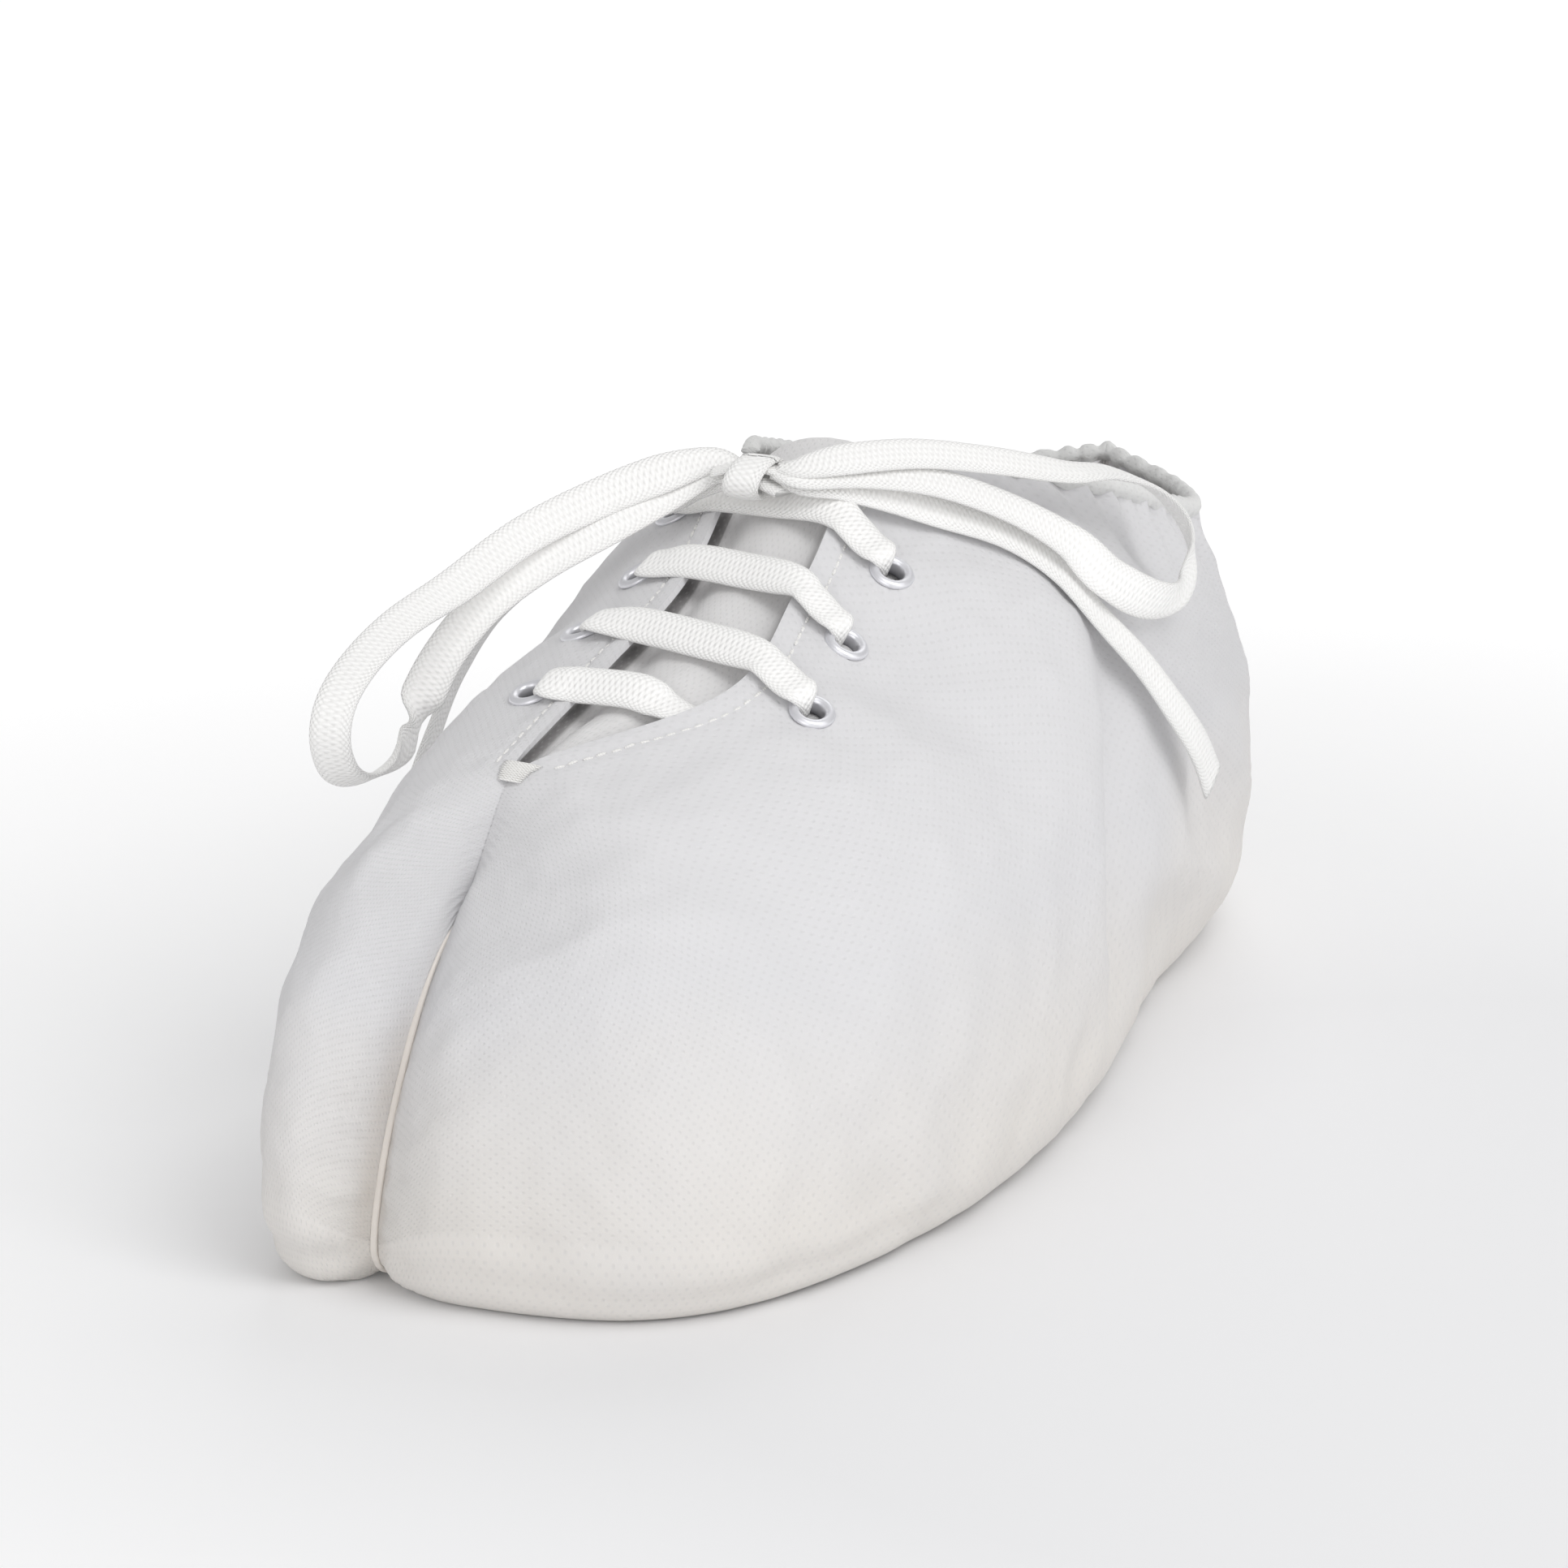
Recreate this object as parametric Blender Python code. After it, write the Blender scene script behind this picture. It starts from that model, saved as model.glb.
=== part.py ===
"""A lace-up shoe cover of white nonwoven fabric, standing on its sole as it keeps its form by itself.

The cover is sewn from two halves that meet in one seam down the toe, along the sole and up the heel.
Everything below is given in millimetres along three directions: along runs from the toe to the heel,
x is positive on the inner (medial) side of the foot, and z is up from the floor. The function place
turns these into metres from the model's origin, which is on the floor under the middle of the cover.
"""

import math

import bmesh
import bpy
import numpy as np
from mathutils import Matrix, Vector

MM = 0.001

# ---------------------------------------------------------------- driving sizes, in millimetres
CENTRE_ALONG = 148.72  # the model's origin, measured from the tip of the toe
CENTRE_X = 8.34        # and from the zero line of the table of ribs
WALL = 1.2             # fabric with its lining
GAP = 0.3              # clearance between pieces that touch
SOLE_ROLL = 9.0        # radius of the turn from sole to side
LACE_WIDTH = 8.0
LACE_THICK = 1.0
EYELET_HOLE = 2.3      # radius of the opening
EYELET_RIM = 4.2       # radius of the flange
EYELET_TOP = 0.7       # thickness of the flange
BARREL_WALL = 0.4
RIM_ROLL = 1.9         # radius of the elastic edge
RUFFLE_PITCH = 8.0     # length of one ruffle of the elastic edge
TONGUE_WALL = 1.2
TONGUE_DROP = 2.8      # the tongue's face lies this far under the facings' outer face
TONGUE_EXTRA = 8.0     # how far the tongue stands out of the throat
TONGUE_UNDER = 0.8     # how far it reaches under the facings, as a share of their upper band
TONGUE_BELOW = 0.02    # how far it goes on below the throat, along the row of ribs
TONGUE_FREE = 14.0     # where the throat is this wide the tongue bulges in full
HALF_APART = 0.21      # each half stands this far off the seam's plane
STRIP_WIDTH = 2.4      # the tape of the centre seam
STRIP_THICK = 0.8
STRIP_GAP = 0.4        # between the tape and the bottom of the groove
BAR_WIDTH = 7.0        # a lace pulled flat across the throat
BAR_LIFT = 1.2         # how far it bows up where it leaves a facing's edge
BAR_TILT = 0.30        # it faces forward by this much, as the slope of the instep does
BAR_EDGES = (-11.0, 12.0)   # x where a cross lace passes the edges of the left and the right facing

# Ribs run over each half from the sole's seam, round the side, to the top edge. One row is one rib, and
# the rows are evenly spread from the toe's seam (first) to the heel's seam (last).
#   out: the widest line of the side, in plan     top: the rib's upper end     sole: its lower end
#   bulge: height of the widest line     lean: how steep the rib is at its top, in degrees
#   full: how far the side stands up before it turns in
RIB_COLUMNS = (
    "out_along", "left_out_x", "right_out_x", "top_along", "left_top_x", "right_top_x", "left_top_z",
    "right_top_z", "sole_along", "sole_x", "bulge", "left_lean", "right_lean", "left_full", "right_full",
)
RIBS = (
    (6, -12, -12, 40, -12.0, -12.0, 57, 57, 40, -12, 8, 24, 24, 0.15, 0.15),     # seam of the toe
    (0, -24, 8, 46, -12.5, -12.5, 62, 62, 46, -11, 16, 2, 3, 0.55, 0.50),
    (8, -34, 40, 53, -13.0, -13.0, 69, 69, 54, -10, 16, 0, 0, 0.78, 0.60),
    (32, -42, 58, 62, -13.6, -12.4, 77, 77, 68, -8, 14, 1, 3, 0.85, 0.62),      # lower end of the throat
    (76, -48, 67, 90, -11.0, 14.0, 87, 87, 94, -5, 13, 8, 18, 0.85, 0.62),
    (122, -51, 66, 124, -11.0, 12.0, 96, 98, 128, -2, 13, 14, 24, 0.80, 0.62),
    (165, -47, 58, 164, -20.0, 9.0, 106, 110, 165, 0, 15, 30, 34, 0.70, 0.62),  # upper end of the throat
    (210, -42, 48, 204, -34.0, 33.0, 97, 98, 204, 0, 18, 66, 66, 0.62, 0.62),
    (254, -37, 40, 246, -32.0, 33.0, 84, 83, 236, 0, 20, 78, 78, 0.62, 0.62),
    (285, -24, 23, 272, -20.0, 20.0, 79, 79, 254, 0, 24, 82, 82, 0.62, 0.62),
    (298, 0, 0, 284, 0.0, 0.0, 81, 81, 260, 0, 28, 84, 84, 0.62, 0.62),         # seam of the heel
)
THROAT_START = 0.30    # places along the row of ribs, from 0 at the toe to 1 at the heel
THROAT_END = 0.60

# Soft folds. Each runs straight from one point to another on the side; high is how far it stands out,
# and below zero it is a furrow.
FOLD_COLUMNS = ("x1", "along1", "z1", "x2", "along2", "z2", "half_width", "high")
FOLDS = (
    (4, 36, 56, 10, 2, 12, 9, 2.6),        # puffed edge beside the toe's seam
    (-22, 52, 66, -27, 14, 20, 8, 1.8),
    (56, 160, 40, 40, 262, 8, 7, 2.8),     # folds that run down from the opening to the sole
    (49, 205, 66, 44, 262, 22, 7, 2.4),
    (46, 190, 88, 60, 150, 34, 8, -2.2),
    (40, 236, 66, 24, 286, 30, 7, 1.8),
    (-40, 200, 84, -50, 150, 34, 8, -2.2),
    (-39, 212, 66, -36, 262, 22, 7, 2.4),
    (-46, 170, 60, -40, 236, 12, 7, 2.4),
    (-34, 240, 66, -22, 285, 30, 7, 1.8),
    (30, 62, 66, 52, 24, 26, 10, 1.6),
    (26, 110, 90, 62, 84, 40, 10, 1.2),
)

SEAM_X = -12.0          # x of the seam at the toe; folds with less x belong to the left half

# The groove of the centre seam: how deep it is at places along the seam, from the top of the toe (0),
# round the sole, to the top of the heel (1), and half its width.
GROOVE_COLUMNS = ("place", "deep", "half_width")
GROOVE = (
    (0.00, 0.0, 4.5), (0.02, 0.4, 4.5), (0.07, 3.2, 5.5), (0.14, 3.6, 5.5), (0.19, 1.6, 4.5),
    (1.00, 1.6, 4.5),
)

# Shallow pleats across the sole under the toe, where the seam draws the fabric in.
PLEATS = dict(first=24.0, last=96.0, pitch=9.0, high=0.8, reach=26.0)

# Eyelets: place along the throat, one row for each cross lace. The right one of the first row is hidden.
LACE_COLUMNS = ("left_along", "left_x", "right_along", "right_x", "goes_under")
LACE_ROWS = (
    (84, -21.0, 84, 15.0, True),
    (107, -22.5, 95, 28.0, False),
    (130, -23.5, 118, 24.6, False),
    (151, -26.0, 140, 22.0, False),
)

# Free laces, as hand-laid routes of (x, along, z).
LOOP_LEFT = (
    (-13.6, 141.8, 112.9), (-21, 137.5, 111), (-31, 130, 106.8), (-40, 118, 101.6), (-46.5, 104, 95),
    (-50.5, 88, 88.5), (-52.5, 75, 81.5), (-53, 71, 75.5), (-53, 76, 70), (-52.5, 85, 68), (-52, 94, 70),
    (-51, 100, 75.5), (-48.5, 104.5, 83), (-44, 111, 90.5), (-37, 119, 97), (-28, 128.5, 102.8),
    (-20, 137, 108), (-13.6, 140.8, 110.8),
)
LOOP_RIGHT = (
    (3.0, 142.6, 112.9), (10, 148.5, 114.3), (18, 159.5, 113.4), (27, 172, 109.2), (35, 184, 104.2),
    (41.5, 196, 99), (46, 204.5, 95), (48, 207, 91.4), (47, 201, 89.4), (44, 189, 92), (38.5, 176.5, 97),
    (31, 167, 102.6), (21, 157, 108.3), (11, 148, 111.4), (3.0, 141.2, 110.9),
)
END_LEFT = (
    (-13.6, 142.4, 108.7), (-21, 143.5, 105.9), (-31, 141, 101.2), (-41, 136, 93.5), (-48.5, 128, 85),
    (-53.5, 119, 75), (-55.5, 111, 63.5), (-56.5, 104, 52), (-56.5, 97, 41),
)
END_RIGHT = (
    (2.4, 142.4, 108.9), (9, 147, 109.2), (16, 152.5, 107), (23, 158.5, 103), (31, 166.5, 97.4),
    (38.5, 173.5, 89.8), (45, 179, 81), (50.5, 185, 72.5), (54.5, 191, 63), (56.5, 198, 54), (56.5, 205, 45),
)
KNOT = (-6, 141.5, 110.8)
KNOT_SIZE = (6.4, 5.4, 2.8)   # half its size each way


# ---------------------------------------------------------------- curves through the rows
def smooth_rows(values, where):
    """A Catmull-Rom curve through evenly spaced rows; where runs from 0 at the first to 1 at the last."""
    rows = np.asarray(values, float)
    spans = len(rows) - 1
    x = np.clip(where, 0.0, 1.0) * spans
    i = np.minimum(x.astype(int), spans - 1)
    f = (x - i).reshape(-1, *[1] * (rows.ndim - 1))
    ends = np.concatenate([[2 * rows[0] - rows[1]], rows, [2 * rows[-1] - rows[-2]]])
    a, b, c, d = ends[i], ends[i + 1], ends[i + 2], ends[i + 3]
    return 0.5 * (2 * b + (c - a) * f + (2 * a - 5 * b + 4 * c - d) * f**2 + (3 * b - a - 3 * c + d) * f**3)


def rib_values(column, where):
    return smooth_rows([row[RIB_COLUMNS.index(column)] for row in RIBS], where)


def top_x(name, where):
    """The top edge: straight from row to row where the halves meet, a curve where they part."""
    rows = [row[RIB_COLUMNS.index(name + "_top_x")] for row in RIBS]
    straight = np.interp(where, np.linspace(0, 1, len(rows)), rows)
    return np.where(where < THROAT_START, straight, smooth_rows(rows, where))


def route(points, step):
    """A hand-laid route, read again at even steps from a smooth curve through its points."""
    fine = smooth_rows(points, np.linspace(0.0, 1.0, 40 * len(points)))
    run = np.r_[0.0, np.cumsum(np.linalg.norm(np.diff(fine, axis=0), axis=1))]
    even = np.linspace(0.0, run[-1], max(3, round(run[-1] / step) + 1))
    return np.stack([np.interp(even, run, fine[:, k]) for k in range(3)], axis=1)


# ---------------------------------------------------------------- the skin of one half
def bare_skin(side, where, across):
    """Points (x, along, z) of one half, before folds. side is -1 for the left half and 1 for the right.

    where places the rib. across runs along the rib: 0 to 1 on the sole, 1 to 2 round the turn, 2 to 3 up
    the side to the top edge.
    """
    name = "right" if side > 0 else "left"
    out = np.stack([rib_values(name + "_out_x", where), rib_values("out_along", where)], axis=1)
    top = np.stack([top_x(name, where), rib_values("top_along", where)], axis=1)
    sole = np.stack([rib_values("sole_x", where), rib_values("sole_along", where)], axis=1)
    top_z = rib_values(name + "_top_z", where)
    bulge = rib_values("bulge", where)
    lean = np.radians(rib_values(name + "_lean", where))
    full = rib_values(name + "_full", where)

    outward = out - sole
    outward /= np.linalg.norm(outward, axis=1)[:, None]
    edge = out - outward * SOLE_ROLL
    bend = np.column_stack([edge[:, 0], sole[:, 1]])
    inward = top - out
    span = np.linalg.norm(inward, axis=1)
    inward /= span[:, None]
    height = top_z - bulge

    on_sole = np.clip(across, 0, 1)[:, None]
    turn = np.clip(across - 1, 0, 1) * math.pi / 2
    up = np.clip(across - 2, 0, 1)[:, None]
    flat = (1 - on_sole) ** 2 * sole + 2 * on_sole * (1 - on_sole) * bend + on_sole**2 * edge
    flat += outward * (SOLE_ROLL * np.sin(turn))[:, None]
    low = np.column_stack([flat, bulge * (1 - np.cos(turn))])

    start = np.column_stack([out, bulge])
    end = np.column_stack([top, top_z])
    first = start + np.column_stack([np.zeros_like(out), height * full])
    reach = 0.50 * span * np.cos(lean) + 0.45 * height * np.sin(lean)
    last = end - np.column_stack([inward * np.cos(lean)[:, None], np.sin(lean)]) * reach[:, None]
    side_curve = ((1 - up) ** 3 * start + 3 * (1 - up) ** 2 * up * first
                  + 3 * (1 - up) * up**2 * last + up**3 * end)
    return np.where(across[:, None] > 2, side_curve, low)


def outward_normals(side, where, across):
    """The direction straight out of the skin at each point."""
    tiny = 0.004
    def at(w, a):
        return bare_skin(side, np.clip(w, 0, 1), np.clip(a, 0, 3))
    along = at(where + tiny, across) - at(where - tiny, across)
    over = at(where, across + tiny) - at(where, across - tiny)
    normal = np.cross(along, over) * side
    return normal / np.maximum(np.linalg.norm(normal, axis=1), 1e-9)[:, None]


def centre_line(count=200):
    """The centre seam from the top of the toe, under the sole, to the top of the heel, with the direction
    out of the fabric at each point."""
    down = np.linspace(3, 0, count // 4)
    toe = bare_skin(1, np.zeros_like(down), down)
    ribs = np.linspace(0, 1, count // 2)[1:-1]
    sole = bare_skin(1, ribs, np.zeros_like(ribs))
    heel = bare_skin(1, np.ones_like(down), down[::-1])
    points = np.concatenate([toe, sole, heel])
    run = np.r_[0.0, np.cumsum(np.linalg.norm(np.diff(points, axis=0), axis=1))]
    even = np.linspace(0.0, run[-1], count)
    points = np.stack([np.interp(even, run, points[:, k]) for k in range(3)], axis=1)
    tangent = np.gradient(points, axis=0)
    out = np.column_stack([np.zeros(count), tangent[:, 2], -tangent[:, 1]])
    return points, out / np.linalg.norm(out, axis=1)[:, None]


def groove(place):
    """Depth and half-width of the seam's groove at places along it."""
    place_, deep, half = (np.array(column, float) for column in zip(*GROOVE))
    return np.interp(place, place_, deep), np.interp(place, place_, half)


def near_segment(points, start, end):
    """How far each point is from a straight segment, and where along it the nearest place is."""
    run = np.array(end, float) - start
    t = np.clip((points - start) @ run / (run @ run), 0, 1)
    return np.linalg.norm(points - (start + t[:, None] * run), axis=1), t


def relief(side, points):
    """How far folds lift the fabric off its smooth form at each point."""
    lift = np.zeros(len(points))
    for row in FOLDS:
        fold = dict(zip(FOLD_COLUMNS, row))
        start = np.array([fold["x1"], fold["along1"], fold["z1"]], float)
        end = np.array([fold["x2"], fold["along2"], fold["z2"]], float)
        if np.sign((start[0] + end[0]) / 2 - SEAM_X) != side:
            continue
        far, t = near_segment(points, start, end)
        ends = np.sin(math.pi * np.clip(t, 0.04, 0.96))
        lift += fold["high"] * np.exp(-(far / fold["half_width"]) ** 2) * ends
    return lift * np.clip((points[:, 2] - 4) / 10, 0, 1)


def skin(side, where, across):
    """The outer face of one half with its folds, its pleats under the toe and the seam's groove."""
    points = bare_skin(side, where, across)
    normals = outward_normals(side, where, across)
    line, line_out = centre_line()
    apart = np.linalg.norm(points[:, None, :] - line[None, :, :], axis=2)
    nearest = apart.argmin(axis=1)
    from_seam = apart.min(axis=1)
    away = np.clip(from_seam / 12, 0, 1) * np.clip((3.0 - across) / 0.15, 0, 1)
    points = points + normals * (relief(side, points) * away)[:, None]

    fan = (points[:, 1] - PLEATS["first"]) / PLEATS["pitch"]
    inside = (points[:, 1] > PLEATS["first"]) & (points[:, 1] < PLEATS["last"])
    pleat = 0.5 - 0.5 * np.cos(2 * math.pi * fan)
    fade = np.clip(1 - from_seam / PLEATS["reach"], 0, 1) * np.clip((1 - across) / 0.3, 0, 1)
    points[:, 2] += PLEATS["high"] * pleat * fade * inside

    deep, half = groove(nearest / (len(line) - 1))
    sunk = np.exp(-(from_seam / half) ** 4)
    height = ((points - line[nearest]) * line_out[nearest]).sum(axis=1)
    return points - line_out[nearest] * ((height + deep) * sunk)[:, None]


def place(points):
    """From (x, along, z) in millimetres to the model's metres: the toe points to -Y."""
    points = np.atleast_2d(points)
    return np.column_stack([points[:, 0] - CENTRE_X, points[:, 1] - CENTRE_ALONG, points[:, 2]]) * MM


# ---------------------------------------------------------------- Blender helpers
def clear_scene():
    for thing in list(bpy.data.objects):
        bpy.data.objects.remove(thing, do_unlink=True)


def material(name, colour, roughness, metallic=0.0):
    made = bpy.data.materials.new(name)
    made.use_nodes = True
    shader = made.node_tree.nodes["Principled BSDF"]
    shader.inputs["Base Color"].default_value = (*colour, 1.0)
    shader.inputs["Roughness"].default_value = roughness
    shader.inputs["Metallic"].default_value = metallic
    return made


def finish_object(name, bm, finish, smooth=True):
    bmesh.ops.recalc_face_normals(bm, faces=bm.faces)
    mesh = bpy.data.meshes.new(name)
    bm.to_mesh(mesh)
    bm.free()
    if smooth:
        mesh.shade_smooth()
        mesh.set_sharp_from_angle(angle=math.radians(40))
    mesh.materials.append(finish)
    made = bpy.data.objects.new(name, mesh)
    bpy.context.scene.collection.objects.link(made)
    return made


def sheet(name, table, wall, finish, turned=False):
    """Cloth over a table of points [row][column], given its thickness inwards."""
    rows, columns = table.shape[:2]
    bm = bmesh.new()
    bmesh.ops.create_grid(bm, x_segments=columns - 1, y_segments=rows - 1, size=0.5)
    for vertex in bm.verts:
        row = round((vertex.co.y + 0.5) * (rows - 1))
        column = round((vertex.co.x + 0.5) * (columns - 1))
        vertex.co = Vector(place(table[row, column])[0])
    if turned:
        bmesh.ops.reverse_faces(bm, faces=bm.faces)
    mesh = bpy.data.meshes.new(name)
    bm.to_mesh(mesh)
    bm.free()
    mesh.shade_smooth()
    mesh.materials.append(finish)
    made = bpy.data.objects.new(name, mesh)
    bpy.context.scene.collection.objects.link(made)
    solid = made.modifiers.new("wall", "SOLIDIFY")
    solid.thickness = wall * MM
    solid.offset = -1.0
    return made


def tube(bm, rings):
    """Faces between rings of corners, closed at both ends."""
    sides = len(rings[0])
    loops = [[bm.verts.new(place(corner)[0]) for corner in ring] for ring in rings]
    for before, after in zip(loops, loops[1:]):
        for k in range(sides):
            n = (k + 1) % sides
            bm.faces.new((before[k], before[n], after[n], after[k]))
    bm.faces.new(loops[0])
    bm.faces.new(loops[-1][::-1])


def ribbon(name, path, faces, width, thick, finish):
    """A flat band along path, with rounded edges. faces gives the direction out of its broad side."""
    bm = bmesh.new()
    tangent = np.gradient(path, axis=0)
    tangent /= np.linalg.norm(tangent, axis=1)[:, None]
    outline = ((-0.5, 0.0), (-0.36, 0.5), (0.36, 0.5), (0.5, 0.0), (0.36, -0.5), (-0.36, -0.5))
    rings = []
    for point, ahead, face in zip(path, tangent, faces):
        beside = np.cross(ahead, face)
        beside /= np.linalg.norm(beside)
        up = np.cross(beside, ahead)
        rings.append([point + beside * across * width + up * over * thick for across, over in outline])
    tube(bm, rings)
    return finish_object(name, bm, finish)


def square_to(direction, axis):
    """The part of a direction that is square to an axis, at unit length."""
    flat = direction - axis * (direction @ axis)
    return flat / np.linalg.norm(flat)


def away_from_foot(path):
    """For a lace that lies on the cover: the direction out from the foot's axis, square to the lace."""
    axis = np.column_stack([np.full(len(path), 2.0), path[:, 1], np.full(len(path), 45.0)])
    out = path - axis
    tangent = np.gradient(path, axis=0)
    tangent /= np.linalg.norm(tangent, axis=1)[:, None]
    out -= tangent * (out * tangent).sum(axis=1)[:, None]
    return out / np.linalg.norm(out, axis=1)[:, None]


def round_loop(path):
    """For a loop of the bow: flat on the cover, but standing on its edge where it turns back."""
    out = away_from_foot(path)
    middle = len(path) // 2
    centre = path[middle - 4:middle + 5].mean(axis=0)
    tip = np.exp(-((np.arange(len(path)) - middle) / (0.21 * len(path))) ** 2)[:, None]
    return out * (1 - tip) + (path - centre) / 10.0 * tip


# ---------------------------------------------------------------- pieces
def on_skin(side, x, along):
    """The place on one half's upper face that has this x and this distance from the toe."""
    where, across = np.meshgrid(np.linspace(0.15, 0.75, 121), np.linspace(2.2, 3.0, 81))
    points = skin(side, where.ravel(), across.ravel())
    best = np.hypot(points[:, 0] - x, points[:, 1] - along).argmin()
    normal = outward_normals(side, where.ravel()[best:best + 1], across.ravel()[best:best + 1])[0]
    return points[best], normal


def panel(name, side, finish):
    """One half of the cover: a grid of ribs, given its thickness inwards."""
    close = np.array([0, 0.014, 0.032, 0.055, 0.08])
    where = np.r_[close, np.linspace(0.11, 0.90, 20), 1 - close[::-1]]
    sole = np.array([0, 0.06, 0.12, 0.20, 0.40, 0.70])
    across = np.r_[sole, 1.0, 1.3, 1.65, np.linspace(2.0, 2.88, 8), 3.0]
    table = skin(side, np.repeat(where, len(across)), np.tile(across, len(where)))
    table[:, 0] += side * HALF_APART
    return sheet(name, table.reshape(len(where), len(across), 3), WALL, finish, turned=side > 0)


def cut_hole(target, name, point, normal, radius):
    """A round hole for an eyelet, cut square through the fabric."""
    bm = bmesh.new()
    wide = radius * MM
    bmesh.ops.create_cone(bm, cap_ends=True, segments=12, radius1=wide, radius2=wide, depth=8 * MM)
    cutter = finish_object(name, bm, target.data.materials[0], smooth=False)
    cutter.matrix_world = standing(point, normal)
    cutter.hide_render = True
    cutter.display_type = "WIRE"
    cut = target.modifiers.new(name, "BOOLEAN")
    cut.operation = "DIFFERENCE"
    cut.solver = "EXACT"
    cut.object = cutter


def standing(point, normal):
    """A placement whose Z axis is normal."""
    turn = Vector(normal).to_track_quat("Z", "Y").to_matrix().to_4x4()
    return Matrix.Translation(Vector(place(point)[0])) @ turn


def eyelet(name, point, normal, finish):
    """A flanged metal ring, whose barrel goes through the fabric."""
    barrel = EYELET_HOLE + BARREL_WALL
    profile = (
        (EYELET_HOLE, -WALL - 0.6), (EYELET_HOLE, GAP + EYELET_TOP * 0.6),
        (EYELET_HOLE + 0.5, GAP + EYELET_TOP), (EYELET_RIM - 0.5, GAP + EYELET_TOP),
        (EYELET_RIM, GAP + EYELET_TOP * 0.3), (EYELET_RIM - 0.2, GAP),
        (barrel, GAP), (barrel, -WALL - 0.6),
    )
    bm = bmesh.new()
    verts = [bm.verts.new((radius * MM, 0, z * MM)) for radius, z in profile]
    edges = [bm.edges.new((a, b)) for a, b in zip(verts, verts[1:] + verts[:1])]
    bmesh.ops.spin(bm, geom=verts + edges, cent=(0, 0, 0), axis=(0, 0, 1), angle=math.tau, steps=12,
                   use_merge=True)
    bmesh.ops.remove_doubles(bm, verts=bm.verts, dist=1e-6)
    made = finish_object(name, bm, finish)
    made.matrix_world = standing(point, normal)
    return made


def throat_edge(side, along):
    """The facing's edge at a distance from the toe."""
    where = np.linspace(THROAT_START, THROAT_END + 0.02, 200)
    points = skin(side, where, np.full_like(where, 3.0))
    return np.array([np.interp(along, points[:, 1], points[:, k]) for k in range(3)])


def lace_bar(name, row, finish):
    """A cross lace from its left eyelet, over both facings, to its right eyelet."""
    left, left_normal = on_skin(-1, row["left_x"], row["left_along"])
    right, right_normal = on_skin(1, row["right_x"], row["right_along"])
    slope = (row["right_along"] - row["left_along"]) / (row["right_x"] - row["left_x"])
    edge_left = throat_edge(-1, row["left_along"] + slope * (BAR_EDGES[0] - row["left_x"]))
    edge_right = throat_edge(1, row["left_along"] + slope * (BAR_EDGES[1] - row["left_x"]))
    lie = GAP + LACE_THICK / 2
    flange = 1.3 * GAP + EYELET_TOP + lie
    up = np.array([0.0, 0.0, 1.0])
    toward = square_to(edge_left - left, left_normal)
    points = [left + toward * 0.3 + left_normal * flange, left + toward * 5.0 + left_normal * flange,
              edge_left + up * (lie + BAR_LIFT), (edge_left + edge_right) / 2 + up * (lie + 1.3 * BAR_LIFT)]
    if row["goes_under"]:
        points += [edge_right - np.array([1.6, 0, 0]) + up * 0.6]
    else:
        toward = square_to(edge_right - right, right_normal)
        points += [edge_right + up * (lie + BAR_LIFT), right + toward * 5.0 + right_normal * flange,
                   right + toward * 0.3 + right_normal * flange]
    path = route(points, 3.2)
    share = np.linspace(0, 1, len(path))[:, None]
    sloped = up - np.array([0, BAR_TILT, 0])
    last_normal = sloped if row["goes_under"] else right_normal
    faces = (left_normal * np.clip(1 - 2.4 * share, 0, 1) + last_normal * np.clip(2.4 * share - 1.4, 0, 1)
             + sloped * np.clip(1.2 - 2.4 * abs(share - 0.5), 0, 1))
    return ribbon(name, path, faces, BAR_WIDTH, LACE_THICK, finish)


def tongue(name, finish):
    """A strip under the throat, bulged between the facings, whose end stands out above the lacing."""
    stations, across = 15, 9
    where = np.linspace(THROAT_START - TONGUE_BELOW, THROAT_END - 0.02, stations - 2)
    edges = {side: skin(side, where, np.full_like(where, 3.0)) for side in (-1, 1)}
    flank = {side: skin(side, where, np.full_like(where, 2.80)) for side in (-1, 1)}
    normal = {side: outward_normals(side, where, np.full_like(where, 2.9)) for side in (-1, 1)}
    open_by = np.linalg.norm(edges[1] - edges[-1], axis=1)[:, None]
    room = np.clip(open_by / TONGUE_FREE, 0, 1)
    table = np.zeros((stations, across, 3))
    for k, share in enumerate(np.linspace(-1, 1, across)):
        side = -1 if share < 0 else 1
        if abs(share) > 0.5:
            out = (abs(share) - 0.5) / 0.5
            line = edges[side] + (flank[side] - edges[side]) * out * TONGUE_UNDER
            table[:-2, k] = line - normal[side] * TONGUE_DROP
        else:
            mix = share + 0.5
            line = edges[-1] * (1 - mix) + edges[1] * mix
            drop = (normal[-1] * (1 - mix) + normal[1] * mix) * TONGUE_DROP
            bulge = room * (TONGUE_DROP - 0.7) * math.cos(math.pi * share) ** 2
            table[:-2, k] = line - drop + bulge * np.array([0, 0, 1.0])
    ahead = table[-3] - table[-4]
    ahead /= np.linalg.norm(ahead, axis=1)[:, None]
    for extra, share in ((-2, 0.5), (-1, 1.0)):
        table[extra] = table[-3] + ahead * TONGUE_EXTRA * share
    return sheet(name, table, TONGUE_WALL, finish)


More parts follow.
